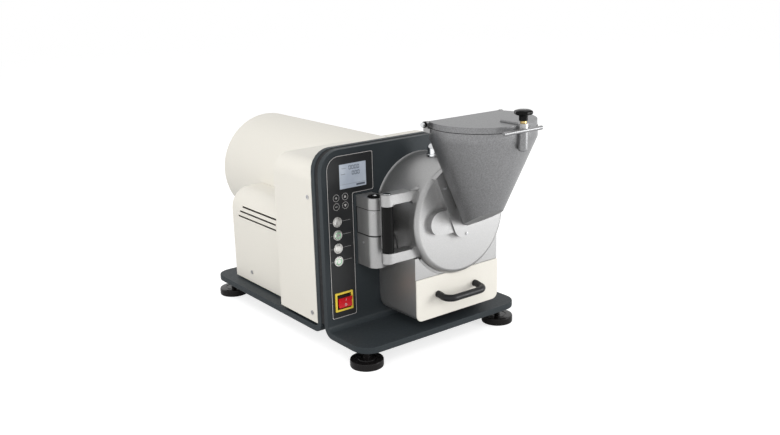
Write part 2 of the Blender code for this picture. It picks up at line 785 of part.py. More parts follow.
# Grinding chamber
def chamber_housing():
    left, right = AXIS_X - BOX_HALF, AXIS_X + BOX_HALF
    corners = [(left, BOX_BOTTOM, BOX_CORNER), (right, BOX_BOTTOM, BOX_CORNER)]
    corners += [(right, AXIS_Z, 0), (left, AXIS_Z, 0)]
    body = slab("chamber_housing", [rounded(corners)], "Y", BOX_FRONT_Y, OVERCUT)
    side = [(BOX_FRONT_Y - OVERCUT, BOX_BOTTOM, 0), (-GAP, BOX_BOTTOM, BOX_BACK_CORNER)]
    side += [(-GAP, PLATE_TOP, 0), (BOX_FRONT_Y - OVERCUT, PLATE_TOP, 0)]
    wide = (AXIS_X - FLARE_RADIUS - OVERCUT, AXIS_X + FLARE_RADIUS + OVERCUT)
    round_body = turned_on_axis("chamber_round", [
        (0, OVERCUT - CHAMBER_RIM_Y),
        (CHAMBER_RADIUS, OVERCUT - CHAMBER_RIM_Y),
        (CHAMBER_RADIUS, FLARE_DEPTH),
        (CHAMBER_RADIUS + 0.3 * (FLARE_RADIUS - CHAMBER_RADIUS), 0.4 * FLARE_DEPTH),
        (FLARE_RADIUS, GAP),
        (FLARE_RADIUS, -1.5 * OVERCUT),
        (0, -1.5 * OVERCUT),
    ])
    join(body, round_body)
    keep_common(body, slab("chamber_side", [rounded(side)], "X", *wide))
    spot = (AXIS_X, AXIS_Z)
    front = BOX_FRONT_Y - OVERCUT
    cut(body, rod("door_recess", "Y", spot, front, CHAMBER_RIM_Y, RECESS_RADIUS, BIG_SIDES))
    cut(body, rod("cavity", "Y", spot, front, CAVITY_BACK_Y, CAVITY_RADIUS, BIG_SIDES))
    bay = (AXIS_X - BAY_HALF, AXIS_X + BAY_HALF)
    cut(body, box("drawer_bay", bay, (front, BAY_BACK_Y), (BAY_BOTTOM, BAY_TOP)))
    chute = (AXIS_X - CHUTE_HALF, AXIS_X + CHUTE_HALF)
    middle = (BAY_BOTTOM + BAY_TOP) / 2
    cut(body, box("chute", chute, (CHUTE_FRONT_Y, CHUTE_BACK_Y), (middle, CHUTE_TOP)))
    cut(body, rod("shaft_hole", "Y", spot, CAVITY_BACK_Y - OVERCUT, OVERCUT, SHAFT_HOLE_RADIUS))
    low, high = LOWER_ARM[0] - NOTCH_SPACE, LOWER_ARM[1] + NOTCH_SPACE
    notch_x = (left - OVERCUT, left + NOTCH_REACH)
    cut(body, box("arm_notch", notch_x, (front, CHAMBER_RIM_Y + GAP), (low, high)))
    return paint(body, silver_coat("chamber_silver"))


def chamber_cap():
    bottom = AXIS_Z + CHAMBER_RADIUS + GAP
    profile = [(0, bottom + CAP_HEIGHT)]
    start = bottom + CAP_HEIGHT - CAP_DOME
    for step in range(1, CORNER_STEPS + 1):
        angle = pi / 2 * (1 - step / CORNER_STEPS)
        profile.append((CAP_RADIUS * cos(angle), start + CAP_DOME * sin(angle)))
    profile += [
        (CAP_RADIUS, bottom + CAP_RING_HEIGHT),
        (CAP_RING_RADIUS, bottom + CAP_RING_HEIGHT),
        (CAP_RING_RADIUS, bottom),
        (0, bottom),
    ]
    cap = turned("chamber_cap", profile, (AXIS_X, CAP_Y, 0), sides=SMALL_SIDES + SMALL_SIDES // 2)
    return paint(cap, bare_steel("cap_chrome"))


# Chamber door: dish, pad, boss, two arms and their knuckles
def flange_outline(inset):
    """Outline of the hopper flange, also of the pad it lies on."""
    radius = FLANGE_FOOT_RADIUS - inset
    corner = (cone_half(FLANGE_CORNER_Z) + FLANGE_CORNER_SPACE - inset, FLANGE_CORNER_Z)
    centre = (AXIS_X, FLANGE_FOOT_Z)
    out, up = corner[0], corner[1] - FLANGE_FOOT_Z
    tangent = atan2(up, out) - acos(radius / hypot(out, up))
    steps = 2 * CORNER_STEPS
    outline = []
    for step in range(steps + 1):
        angle = -pi - tangent + (pi + 2 * tangent) * step / steps
        outline.append((centre[0] + radius * cos(angle), centre[1] + radius * sin(angle)))
    outline.append((AXIS_X + corner[0], corner[1]))
    outline.append((AXIS_X + FLANGE_TOP_OUT - inset, FLANGE_TOP_Z - inset))
    outline.append((AXIS_X - FLANGE_TOP_OUT + inset, FLANGE_TOP_Z - inset))
    outline.append((AXIS_X - corner[0], corner[1]))
    return outline


def boss_outline():
    middle = BOSS_HALF - BOSS_RADIUS
    right = arc((AXIS_X + middle, AXIS_Z), BOSS_RADIUS, -90, 90, 2 * CORNER_STEPS)
    left = arc((AXIS_X - middle, AXIS_Z), BOSS_RADIUS, 90, 270, 2 * CORNER_STEPS)
    return right + left


def chamber_door():
    rim = DISH_RADIUS - DISH_ROUND
    front = -DISH_FRONT_Y
    back = -DISH_BACK_Y
    profile = [(0, front), (rim, front)]
    for step in range(1, CORNER_STEPS + 1):
        angle = pi / 2 * (1 - step / CORNER_STEPS)
        height = front - DISH_ROUND + DISH_ROUND * sin(angle)
        profile.append((rim + DISH_ROUND * cos(angle), height))
    seat = DISC_RADIUS + GAP
    profile += [(DISH_RADIUS, back), (seat, back), (seat, back + DISC_SEAT_DEPTH)]
    profile.append((0, back + DISC_SEAT_DEPTH))
    door = turned_on_axis("chamber_door", profile)
    inner = DISH_FRONT_Y + 0.3 * DISH_ROUND
    pad = slab("door_pad", [flange_outline(PAD_INSET)], "Y", BOSS_FRONT_Y, inner)
    spot = (AXIS_X, AXIS_Z)
    trim = rod("pad_trim", "Y", spot, BOSS_FRONT_Y - OVERCUT, 0, DISH_RADIUS - PAD_INSET, BIG_SIDES)
    keep_common(pad, trim)
    boss = slab("door_boss", [boss_outline()], "Y", BOSS_FRONT_Y, inner)
    join(door, pad, boss)
    upper = box("upper_arm", (SECOND_PIN[0], ARM_END_X), (ARM_FRONT_Y, ARM_BACK_Y), UPPER_ARM)
    lower = box("lower_arm", (SECOND_PIN[0], ARM_END_X), (ARM_FRONT_Y, ARM_BACK_Y), LOWER_ARM)
    clear = AXIS_X - BOX_HALF - NOTCH_SPACE
    room = (clear, ARM_END_X + OVERCUT)
    zs = (LOWER_KNUCKLE[0] - OVERCUT, UPPER_KNUCKLE[1] + OVERCUT)
    for arm in (upper, lower):
        trim = box(arm.name + "_trim", room, (DISH_BACK_Y, ARM_BACK_Y + OVERCUT), zs)
        cut(arm, trim)
    join(door, upper, lower)
    top = (UPPER_KNUCKLE[0] + GAP, UPPER_KNUCKLE[1])
    bottom = (LOWER_KNUCKLE[0], LOWER_KNUCKLE[1] - GAP)
    join(door, rod("upper_knuckle", "Z", SECOND_PIN, *top, KNUCKLE_RADIUS))
    join(door, rod("lower_knuckle", "Z", SECOND_PIN, *bottom, KNUCKLE_RADIUS))
    bore = SECOND_PIN_RADIUS + PIN_CLEARANCE
    cut(door, rod("door_pin_bore", "Z", SECOND_PIN, *zs, bore, SMALL_SIDES))
    throat_y = (BOSS_FRONT_Y - OVERCUT, DISH_BACK_Y + OVERCUT)
    cut(door, rod("door_throat", "Y", (AXIS_X, THROAT_Z), *throat_y, THROAT_RADIUS))
    return paint(door, silver_coat("door_silver"))


# Hinge: fixed bracket, swinging link, black barrel and two pins
def nose_outline(left, back, right, front_right):
    """Plan of a hinge segment: flat left side, round nose about the first pin."""
    last = 360 if front_right is None else 295
    outline = [(right, back), (left, back)]
    outline += arc(FIRST_PIN, NOSE_RADIUS, 180, last, 2 * CORNER_STEPS)
    if front_right is not None:
        outline.append((right, front_right))
    return outline


def hinge_bracket():
    right = FIRST_PIN[0] + NOSE_RADIUS
    flange_x = (FLANGE_LEFT, WING_RIGHT)
    heights = (HINGE_FLANGE_BOTTOM, HINGE_FLANGE_TOP)
    bracket = box("hinge_bracket", flange_x, (BLOCK_BACK_Y, -GAP), heights)
    inside = BLOCK_BACK_Y + 0.4 * abs(BLOCK_BACK_Y)
    top = nose_outline(BLOCK_LEFT, inside, right, None)
    join(bracket, slab("top_segment", [top], "Z", TOP_LEAF[0] + LEAF_GAP, TOP_LEAF[1]))
    low = nose_outline(BLOCK_LEFT, inside, WING_RIGHT, WING_FRONT_Y)
    high = BOTTOM_LEAF[1] - LEAF_GAP
    join(bracket, slab("bottom_segment", [low], "Z", BOTTOM_LEAF[0], high))
    bore = FIRST_PIN_RADIUS + PIN_CLEARANCE
    zs = (BOTTOM_LEAF[0] - OVERCUT, TOP_LEAF[1] + OVERCUT)
    cut(bracket, rod("bracket_pin_bore", "Z", FIRST_PIN, *zs, bore, SMALL_SIDES))
    window_x = (BLOCK_LEFT - 2 * GAP, LINK_WINDOW_RIGHT)
    window_z = (MIDDLE_LEAF[0] - GAP / 2, MIDDLE_LEAF[1] + GAP)
    cut(bracket, box("link_window", window_x, (FIRST_PIN[1], OVERCUT), window_z))
    ys = (BOX_FRONT_Y, OVERCUT)
    space = FLARE_RADIUS + 2 * GAP
    cut(bracket, rod("chamber_space", "Y", (AXIS_X, AXIS_Z), *ys, space, BIG_SIDES))
    return paint(bracket, silver_coat("bracket_silver"))


def main_hinge_pin():
    top = TOP_LEAF[1] + GAP
    head = top + FIRST_HEAD_HEIGHT
    profile = [
        (0, head - SOCKET_DEPTH),
        (SOCKET_RADIUS, head - SOCKET_DEPTH),
        (SOCKET_RADIUS, head),
        (FIRST_HEAD_RADIUS, head),
        (FIRST_HEAD_RADIUS, top),
        (FIRST_PIN_RADIUS, top),
        (FIRST_PIN_RADIUS, BOTTOM_LEAF[0]),
        (0, BOTTOM_LEAF[0]),
    ]
    pin = turned("main_hinge_pin", profile, (*FIRST_PIN, 0), sides=SMALL_SIDES)
    return paint(pin, black_plastic("pin_black_oxide"))


def hinge_link():
    low, high = MIDDLE_LEAF[0] + LEAF_GAP / 2, MIDDLE_LEAF[1]
    outline = nose_outline(BLOCK_LEFT, LINK_BACK_Y, FIRST_PIN[0], None)
    link = slab("hinge_link", [outline], "Z", low, high)
    neck = [NECK_LEFT_BACK, NECK_LEFT_FRONT, NECK_RIGHT_FRONT, NECK_RIGHT_BACK, FIRST_PIN]
    join(link, slab("link_neck", [neck], "Z", low, high))
    wall = [WALL_LEFT_BACK, NECK_LEFT_FRONT, NECK_RIGHT_FRONT, WALL_RIGHT_BACK]
    wall_z = (LOWER_KNUCKLE[1] + GAP, UPPER_KNUCKLE[0] - GAP)
    join(link, slab("link_wall", [wall], "Z", *wall_z))
    zs = (wall_z[0] - OVERCUT, wall_z[1] + OVERCUT)
    bore = FIRST_PIN_RADIUS + PIN_CLEARANCE
    cut(link, rod("link_pin_bore", "Z", FIRST_PIN, *zs, bore, SMALL_SIDES))
    cut(link, rod("barrel_seat", "Z", SECOND_PIN, *zs, BARREL_RADIUS + GAP))
    pivot(link, (*FIRST_PIN, low))
    return paint(link, silver_coat("link_silver"))


def hinge_barrel():
    low, high = LOWER_KNUCKLE[1] + GAP, UPPER_KNUCKLE[0] - GAP
    bore = SECOND_PIN_RADIUS + PIN_CLEARANCE
    profile = [(bore, high), (BARREL_RADIUS, high), (BARREL_RADIUS, low), (bore, low)]
    barrel = turned("hinge_barrel", profile, (*SECOND_PIN, 0), closed=True)
    return paint(barrel, black_plastic("barrel_black"))


def door_hinge_pin():
    top = UPPER_KNUCKLE[1] + GAP
    profile = [
        (0, top + SECOND_HEAD_HEIGHT),
        (SECOND_HEAD_RADIUS, top + SECOND_HEAD_HEIGHT),
        (SECOND_HEAD_RADIUS, top),
        (SECOND_PIN_RADIUS, top),
        (SECOND_PIN_RADIUS, LOWER_KNUCKLE[0]),
        (0, LOWER_KNUCKLE[0]),
    ]
    pin = turned("door_hinge_pin", profile, (*SECOND_PIN, 0), sides=SMALL_SIDES)
    return paint(pin, bare_steel("door_pin_steel"))


def sensor_cable():
    """Short black cable that comes out behind the barrel and ends on the lower arm."""
    end = (CABLE_BOTTOM[0], LOWER_ARM[1] + GAP)
    curve = bpy.data.curves.new("sensor_cable", "CURVE")
    curve.dimensions = "3D"
    curve.bevel_depth = CABLE_RADIUS
    curve.bevel_resolution = 2
    curve.use_fill_caps = True
    curve.resolution_u = 4
    curve.render_resolution_u = 4
    spline = curve.splines.new("BEZIER")
    points = (CABLE_TOP, CABLE_MIDDLE, CABLE_BOTTOM, end)
    spline.bezier_points.add(len(points) - 1)
    for knot, (x, z) in zip(spline.bezier_points, points):
        knot.co = (x, CABLE_Y, z)
        knot.handle_left_type = "AUTO"
        knot.handle_right_type = "AUTO"
    cable = bpy.data.objects.new("sensor_cable", curve)
    PARTS.objects.link(cable)
    return paint(cable, black_rubber("cable_black"))


# Feed hopper
def hopper_section(share, wall):
    """Centre depth and radius of the hopper's round front at a share of its rim size."""
    follow = HOPPER_FOLLOW_SHARE
    depth = HOPPER_CENTRE_DEPTH * (follow * share + 1 - follow)
    return depth, HOPPER_RIM_RADIUS * share - wall


def cone_half(height):
    """Half the width of the hopper's cone where it meets the flange at a height."""
    drop = max(HOPPER_BAND_BOTTOM - height, 0) / (HOPPER_BAND_BOTTOM - HOPPER_CONE_END)
    depth, radius = hopper_section(1 - drop * (1 - HOPPER_END_SHARE), 0)
    return (radius ** 2 - depth ** 2) ** 0.5


def hopper_loft(name, wall, back_y, top):
    """Cone of circles whose centres move back as they shrink."""
    rings = [(top, 1), (HOPPER_BAND_BOTTOM, 1), (HOPPER_CONE_END, HOPPER_END_SHARE)]
    bm = bmesh.new()
    loops = []
    for height, share in rings:
        depth, radius = hopper_section(share, wall)
        loop = []
        for step in range(BIG_SIDES):
            angle = 2 * pi * step / BIG_SIDES
            x = AXIS_X + radius * cos(angle)
            y = HOPPER_BACK_Y - depth + radius * sin(angle)
            loop.append(bm.verts.new((x, y, height)))
        loops.append(loop)
    for above, below in zip(loops, loops[1:]):
        for step in range(BIG_SIDES):
            after = (step + 1) % BIG_SIDES
            bm.faces.new((above[step], below[step], below[after], above[after]))
    bm.faces.new(loops[0])
    bm.faces.new(reversed(loops[-1]))
    bmesh.ops.recalc_face_normals(bm, faces=bm.faces)
    mesh = bpy.data.meshes.new(name)
    bm.to_mesh(mesh)
    bm.free()
    loft = place(name, mesh)
    keep_common(loft, hopper_room(name + "_room", wall, back_y, back_y))
    return loft


def hopper_room(name, wall, floor_start, back_y):
    """Space above the hopper's sloping floor; the floor is level behind its start."""
    side = 2 * HOPPER_RIM_RADIUS
    floor_y = floor_start - side
    floor = HOPPER_FLOOR_Z + wall
    outline = [(floor_y, floor + HOPPER_FLOOR_SLOPE * side), (floor_start, floor)]
    if back_y > floor_start:
        outline.append((back_y, floor))
    outline += [(back_y, 2 * HOPPER_TOP), (floor_y, 2 * HOPPER_TOP)]
    return slab(name, [outline], "X", AXIS_X - side, AXIS_X + side)


def keel_outline():
    """Front view of the block that ties the narrow foot of the cone to the flange."""
    rise = KEEL_TOP - THROAT_Z
    tangent = atan2(rise, KEEL_HALF) - acos(KEEL_RADIUS / hypot(rise, KEEL_HALF))
    outline = []
    steps = 2 * CORNER_STEPS
    for step in range(steps + 1):
        angle = -pi - tangent + (pi + 2 * tangent) * step / steps
        across = KEEL_RADIUS * cos(angle)
        outline.append((AXIS_X + across, THROAT_Z + KEEL_RADIUS * sin(angle)))
    return outline + [(AXIS_X + KEEL_HALF, KEEL_TOP), (AXIS_X - KEEL_HALF, KEEL_TOP)]


def hopper():
    body = slab("hopper", [flange_outline(0)], "Y", HOPPER_BACK_Y, BOSS_FRONT_Y - GAP)
    middle = HOPPER_BACK_Y + HOPPER_FLANGE / 2
    join(body, hopper_loft("hopper_outside", 0, middle, HOPPER_TOP))
    keel_y = HOPPER_BACK_Y - HOPPER_CENTRE_DEPTH / 2
    keel = slab("hopper_keel", [keel_outline()], "Y", keel_y, middle + GAP)
    keep_common(keel, hopper_room("keel_room", GAP, middle, middle + 2 * GAP))
    join(body, keel)
    post = turned("hopper_post", [
        (0, HOPPER_TOP),
        (POST_RADIUS, HOPPER_TOP),
        (POST_RADIUS, POST_BOTTOM + POST_ROUND),
        (POST_RADIUS - 0.3 * POST_ROUND, POST_BOTTOM + 0.3 * POST_ROUND),
        (POST_RADIUS - POST_ROUND, POST_BOTTOM),
        (0, POST_BOTTOM),
    ], (AXIS_X, POST_Y, 0))
    join(body, post)
    half = LID_HINGE_HALF
    for name, way in (("left_ear", -1), ("right_ear", 1)):
        near = AXIS_X + way * (half + EAR_SPACE)
        far = near + way * EAR_THICKNESS
        join(body, slab(name, [ear_outline()], "X", min(near, far), max(near, far)))
        inner, outer = near - way * EAR_ROOT, near + way * EAR_THICKNESS / 2
        root = slab(name + "_root", [root_outline()], "X", min(inner, outer), max(inner, outer))
        join(body, root)
    inside_y = HOPPER_BACK_Y - HOPPER_WALL
    cut(body, hopper_loft("hopper_inside", HOPPER_WALL, inside_y, HOPPER_TOP + OVERCUT))
    throat_y = (keel_y, BOSS_FRONT_Y + OVERCUT)
    throat = rod("hopper_throat", "Y", (AXIS_X, THROAT_Z), *throat_y, THROAT_RADIUS)
    keep_common(throat, hopper_room("throat_room", HOPPER_WALL, inside_y, throat_y[1] + OVERCUT))
    cut(body, throat)
    reach = half + EAR_SPACE + EAR_THICKNESS + OVERCUT
    bore = LID_PIN_RADIUS + PIN_CLEARANCE
    ends = (AXIS_X - reach, AXIS_X + reach)
    cut(body, rod("ear_bore", "X", (LID_HINGE_Y, LID_HINGE_Z), *ends, bore, SMALL_SIDES))
    hole_z = (CLAMP_HOLE_BOTTOM, HOPPER_TOP + OVERCUT)
    cut(body, rod("post_hole", "Z", (AXIS_X, POST_Y), *hole_z, CLAMP_HOLE_RADIUS, SMALL_SIDES))
    return paint(body, silver_coat("hopper_silver"))


def ear_outline():
    """Side view of an ear that holds the lid's pin, in Y and Z."""
    back = LID_HINGE_Y + EAR_RADIUS
    low = HOPPER_TOP - EAR_ROOT
    outline = [(HOPPER_BACK_Y - EAR_ROOT, low), (back, low)]
    outline += arc((LID_HINGE_Y, LID_HINGE_Z), EAR_RADIUS, 0, 180, 2 * CORNER_STEPS)
    outline += [(LID_HINGE_Y - EAR_RADIUS, HOPPER_TOP - GAP)]
    outline += [(HOPPER_BACK_Y - EAR_ROOT, HOPPER_TOP - GAP)]
    return outline


def root_outline():
    """Side view of the short block that ties an ear to the hopper's rim."""
    front, back = HOPPER_BACK_Y - EAR_ROOT + 3 * GAP, LID_HINGE_Y + EAR_RADIUS - 2 * GAP
    low, high = HOPPER_TOP - EAR_ROOT + 2 * GAP, HOPPER_TOP - 4 * GAP
    return [(front, low), (back, low), (back, high), (front, high)]


def screw_head(name, x, z, face_y):
    """Small screw head that stands on a face looking to the front."""
    top = -face_y + GAP + SMALL_SCREW_HEIGHT
    profile = [
        (0, top - SMALL_SCREW_HEIGHT / 2),
        (SMALL_SCREW_RADIUS / 2, top - SMALL_SCREW_HEIGHT / 2),
        (SMALL_SCREW_RADIUS / 2, top),
        (SMALL_SCREW_RADIUS, top),
        (SMALL_SCREW_RADIUS, top - SMALL_SCREW_HEIGHT),
        (0, top - SMALL_SCREW_HEIGHT),
    ]
    head = turned(name, profile, (x, 0, z), pi / 2, SMALL_SIDES)
    return paint(head, bare_steel(name + "_steel"))


def hopper_screws():
    out = cone_half(FLANGE_SCREW_Z) + FLANGE_SCREW_SPACE
    screw_head("hopper_screw_left", AXIS_X - out, FLANGE_SCREW_Z, HOPPER_BACK_Y)
    screw_head("hopper_screw_right", AXIS_X + out, FLANGE_SCREW_Z, HOPPER_BACK_Y)
    screw_head("hopper_screw_foot", AXIS_X, FLANGE_FOOT_SCREW_Z, HOPPER_BACK_Y)


# Hopper lid with its post, grip, rib and hinge barrel
def lid_outline(inset):
    """D shape of the lid, its straight edge at the back."""
    radius = HOPPER_RIM_RADIUS - LID_INSET - inset
    depth = LID_BACK_Y - HOPPER_BACK_Y + HOPPER_CENTRE_DEPTH - inset
    start = 90 + (acos(depth / radius)) * 180 / pi
    centre = (AXIS_X, HOPPER_BACK_Y - HOPPER_CENTRE_DEPTH)
    return arc(centre, radius, start, 450 - (start - 90), BIG_SIDES // 4 * 3)


def hopper_lid():
    lid = slab("hopper_lid", [lid_outline(0)], "Z", LID_BOTTOM, LID_TOP)
    inside = (LID_BOTTOM - OVERCUT, LID_TOP - LID_SKIN)
    post_z = (LID_BOTTOM, LID_POST_TOP)
    cut(lid, slab("lid_pocket", [lid_outline(LID_SKIN)], "Z", *inside))
    join(lid, rod("lid_post", "Z", (AXIS_X, POST_Y), *post_z, POST_RADIUS))
    grip = (GRIP_X - GRIP_HALF, GRIP_X + GRIP_HALF)
    join(lid, rod("lid_grip", "X", (GRIP_Y, GRIP_Z), *grip, GRIP_RADIUS, SMALL_SIDES))
    join(lid, rod("lid_rib", "Y", (AXIS_X, RIB_Z), POST_Y, RIB_BACK_Y, RIB_RADIUS, SMALL_SIDES))
    reach = LID_HINGE_HALF - GAP
    ends = (AXIS_X - reach, AXIS_X + reach)
    spot = (LID_HINGE_Y, LID_HINGE_Z)
    join(lid, rod("lid_barrel", "X", spot, *ends, LID_BARREL_RADIUS, SMALL_SIDES))
    far = (ends[0] - OVERCUT, ends[1] + OVERCUT)
    bore = LID_PIN_RADIUS + PIN_CLEARANCE
    cut(lid, rod("lid_pin_bore", "X", spot, *far, bore, SMALL_SIDES))
    hole_z = (LID_BOTTOM - OVERCUT, LID_POST_TOP + OVERCUT)
    cut(lid, rod("lid_post_hole", "Z", (AXIS_X, POST_Y), *hole_z, CLAMP_HOLE_RADIUS, SMALL_SIDES))
    pivot(lid, (AXIS_X, LID_HINGE_Y, LID_HINGE_Z))
    return paint(lid, silver_coat("lid_silver"))


def lid_hinge_pin():
    left = AXIS_X - LID_HINGE_HALF - EAR_SPACE - EAR_THICKNESS - GAP
    right = AXIS_X + LID_HINGE_HALF + EAR_SPACE + EAR_THICKNESS
    spot = (LID_HINGE_Y, LID_HINGE_Z)
    pin = rod("lid_hinge_pin", "X", spot, left - GAP, right, LID_PIN_RADIUS, SMALL_SIDES)
    head = (left - LID_PIN_HEAD_LENGTH, left)
    join(pin, rod("lid_pin_head", "X", spot, *head, LID_PIN_HEAD_RADIUS, SMALL_SIDES))
    return paint(pin, bare_steel("lid_pin_chrome"))


# Clamp knob on the lid's post
def clamp_knob():
    outline = []
    for step in range(KNOB_SIDES):
        angle = 2 * pi * step / KNOB_SIDES
        radius = KNOB_RADIUS - KNOB_LOBE * (1 - cos(KNOB_LOBES * angle)) / 2
        outline.append((AXIS_X + radius * cos(angle), POST_Y + radius * sin(angle)))
    knob = slab("clamp_knob", [outline], "Z", KNOB_HEAD_BOTTOM, KNOB_TOP)
    soften(knob, KNOB_EDGE)
    stem = (KNOB_STEM_BOTTOM, KNOB_HEAD_BOTTOM + OVERCUT)
    join(knob, rod("knob_stem", "Z", (AXIS_X, POST_Y), *stem, KNOB_STEM_RADIUS))
    pivot(knob, (AXIS_X, POST_Y, KNOB_STEM_BOTTOM))
    return paint(knob, black_plastic("knob_black"))


def clamp_screw():
    top = KNOB_STEM_BOTTOM - GAP
    seat = LID_POST_TOP + GAP
    profile = [
        (0, top),
        (CLAMP_BUSH_RADIUS, top),
        (CLAMP_BUSH_RADIUS, seat),
        (CLAMP_SCREW_RADIUS, seat),
        (CLAMP_SCREW_RADIUS, CLAMP_SCREW_BOTTOM),
        (0, CLAMP_SCREW_BOTTOM),
    ]
    screw = turned("clamp_screw", profile, (AXIS_X, POST_Y, 0), sides=SMALL_SIDES)
    return paint(screw, brass("screw_brass"))


# Discs, carrier, shaft and fan: the turning pieces and the fixed disc
def fixed_disk():
    back = -DISH_BACK_Y + DISC_SEAT_DEPTH - GAP
    face = -FIXED_DISC_FACE_Y
    profile = [
        (DISC_MOUTH_RADIUS, back),
        (DISC_RADIUS, back),
        (DISC_RADIUS, face),
        (DISC_CONE_RADIUS, face),
        (DISC_MOUTH_RADIUS, face + DISC_CONE_DEPTH),
    ]
    return paint(turned_on_axis("fixed_disk", profile, closed=True), tool_steel("fixed_disk_steel"))


def rotating_disk():
    face = -TURNING_DISC_FACE_Y
    back = face - DISC_THICKNESS
    profile = [
        (0, face - DISC_CONE_DEPTH),
        (TURNING_MOUTH_RADIUS, face - DISC_CONE_DEPTH),
        (DISC_CONE_RADIUS, face),
        (DISC_RADIUS, face),
        (DISC_RADIUS, back),
        (0, back),
    ]
    return paint(turned_on_axis("rotating_disk", profile), tool_steel("rotating_disk_steel"))


def disk_carrier():
    front = -TURNING_DISC_FACE_Y - DISC_THICKNESS - GAP
    back = -CARRIER_BACK_Y
    profile = [
        (0, front),
        (CARRIER_RADIUS, front),
        (CARRIER_RADIUS, front - CARRIER_PLATE),
        (CARRIER_NECK_RADIUS, front - CARRIER_PLATE),
        (CARRIER_NECK_RADIUS, back),
        (0, back),
    ]
    return paint(turned_on_axis("disk_carrier", profile, MID_SIDES), cast_iron("carrier_iron"))


def main_shaft():
    front = -CARRIER_BACK_Y - GAP
    profile = [
        (0, front),
        (SHAFT_RADIUS, front),
        (SHAFT_RADIUS, -ROTOR_CORE[0]),
        (ROTOR_CORE_RADIUS, -ROTOR_CORE[0]),
        (ROTOR_CORE_RADIUS, -ROTOR_CORE[1]),
        (SHAFT_RADIUS, -ROTOR_CORE[1]),
        (SHAFT_RADIUS, -SHAFT_END_Y),
        (0, -SHAFT_END_Y),
    ]
    return paint(turned_on_axis("main_shaft", profile, MID_SIDES), bare_steel("shaft_steel"))


def cooling_fan():
    bore = SHAFT_RADIUS + GAP
    front, back = -FAN[0], -FAN[1]
    profile = [
        (bore, front),
        (FAN_HUB_RADIUS, front),
        (FAN_HUB_RADIUS, front - FAN_PLATE),
        (FAN_RADIUS, front - FAN_PLATE),
        (FAN_RADIUS, front - 2 * FAN_PLATE),
        (FAN_HUB_RADIUS, front - 2 * FAN_PLATE),
        (FAN_HUB_RADIUS, back),
        (bore, back),
    ]
    fan = turned_on_axis("cooling_fan", profile, MID_SIDES, closed=True)
    ys = (FAN[0] + 1.5 * FAN_PLATE, FAN[1])
    for index in range(FAN_BLADES // 2):
        reach = (AXIS_X - FAN_RADIUS + GAP, AXIS_X + FAN_RADIUS - GAP)
        wide = (AXIS_Z - FAN_VANE / 2, AXIS_Z + FAN_VANE / 2)
        blade = box("fan_blades_%d" % (index + 1), reach, ys, wide)
        blade.rotation_euler = (0, 2 * pi * index / FAN_BLADES, 0)
        ends = (FAN[0], FAN[1] + OVERCUT)
        core = "fan_core_%d" % (index + 1)
        hub = FAN_HUB_RADIUS - FAN_VANE / 2
        cut(blade, rod(core, "Y", (AXIS_X, AXIS_Z), *ends, hub))
        join(fan, blade)
    return paint(fan, black_plastic("fan_black"))


def shaft_bearing():
    front, back = -GAP, -REAR_BACK + GAP
    profile = [
        (BEARING_BORE, front),
        (BEARING_RADIUS, front),
        (BEARING_RADIUS, back),
        (BEARING_BORE, back),
    ]
    ring = turned_on_axis("shaft_bearing", profile, MID_SIDES, closed=True)
    return paint(ring, bare_steel("bearing_steel"))


# Motor inside the rear covers
def motor_stator():
    front, back = -STATOR[0], -STATOR[1]
    profile = [
        (BEARING_BORE, front),
        (STATOR_RADIUS, front),
        (STATOR_RADIUS, back),
        (STATOR_BORE, back),
        (STATOR_BORE, front - STATOR_WALL),
        (BEARING_BORE, front - STATOR_WALL),
    ]
    body = turned_on_axis("motor_stator", profile, MID_SIDES, closed=True)
    return paint(body, cast_iron("stator_iron"))


def motor_end_shield():
    front, back = -STATOR[1] - GAP, -SHIELD_END_Y
    profile = [
        (BEARING_BORE, front),
        (STATOR_RADIUS, front),
        (STATOR_RADIUS, front + 0.5 * (back - front)),
        (SHIELD_HUB_RADIUS, back),
        (BEARING_BORE, back),
    ]
    shield = turned_on_axis("motor_end_shield", profile, MID_SIDES, closed=True)
    return paint(shield, cast_iron("shield_iron"))


def motor_cradle():
    xs = (AXIS_X - MOTOR_SEAT_HALF, AXIS_X + MOTOR_SEAT_HALF)
    cradle = box("motor_cradle", xs, MOTOR_SEAT, (GAP, AXIS_Z - 0.5 * STATOR_RADIUS))
    ends = (MOTOR_SEAT[0] - OVERCUT, MOTOR_SEAT[1] + OVERCUT)
    seat = STATOR_RADIUS + GAP
    cut(cradle, rod("cradle_seat", "Y", (AXIS_X, AXIS_Z), *ends, seat, MID_SIDES))
    return paint(cradle, cast_iron("cradle_iron"))


def motor_cover():
    radius = MOTOR_COVER_RADIUS
    front, back = -MOTOR_COVER_FRONT, -MOTOR_COVER_END
    rim = radius - MOTOR_COVER_ROUND
    inner = radius - SHEET
    outside, inside = [], []
    for step in range(CORNER_STEPS + 1):
        angle = pi / 2 * step / CORNER_STEPS
        along = back + MOTOR_COVER_ROUND
        outside.append((rim + MOTOR_COVER_ROUND * cos(angle), along - MOTOR_COVER_ROUND * sin(angle)))
        small = MOTOR_COVER_ROUND - SHEET
        inside.append((rim + small * cos(angle), along - small * sin(angle)))
    profile = [(inner, front), (radius, front)] + outside
    profile += [(GRILLE_RADIUS, back), (GRILLE_RADIUS, back + SHEET)] + inside[::-1]
    middle = (AXIS_X, 0, MOTOR_COVER_Z)
    cover = turned("motor_cover", profile, middle, pi / 2, BIG_SIDES, closed=True)
    xs = (AXIS_X - MOTOR_SEAT_HALF - SHEET, AXIS_X + MOTOR_SEAT_HALF + SHEET)
    ys = (MOTOR_SEAT[0] - SHEET, MOTOR_SEAT[1] + SHEET)
    cut(cover, box("cradle_window", xs, ys, (0, AXIS_Z - 0.5 * STATOR_RADIUS)))
    return paint(cover, white_coat("motor_cover_white"))


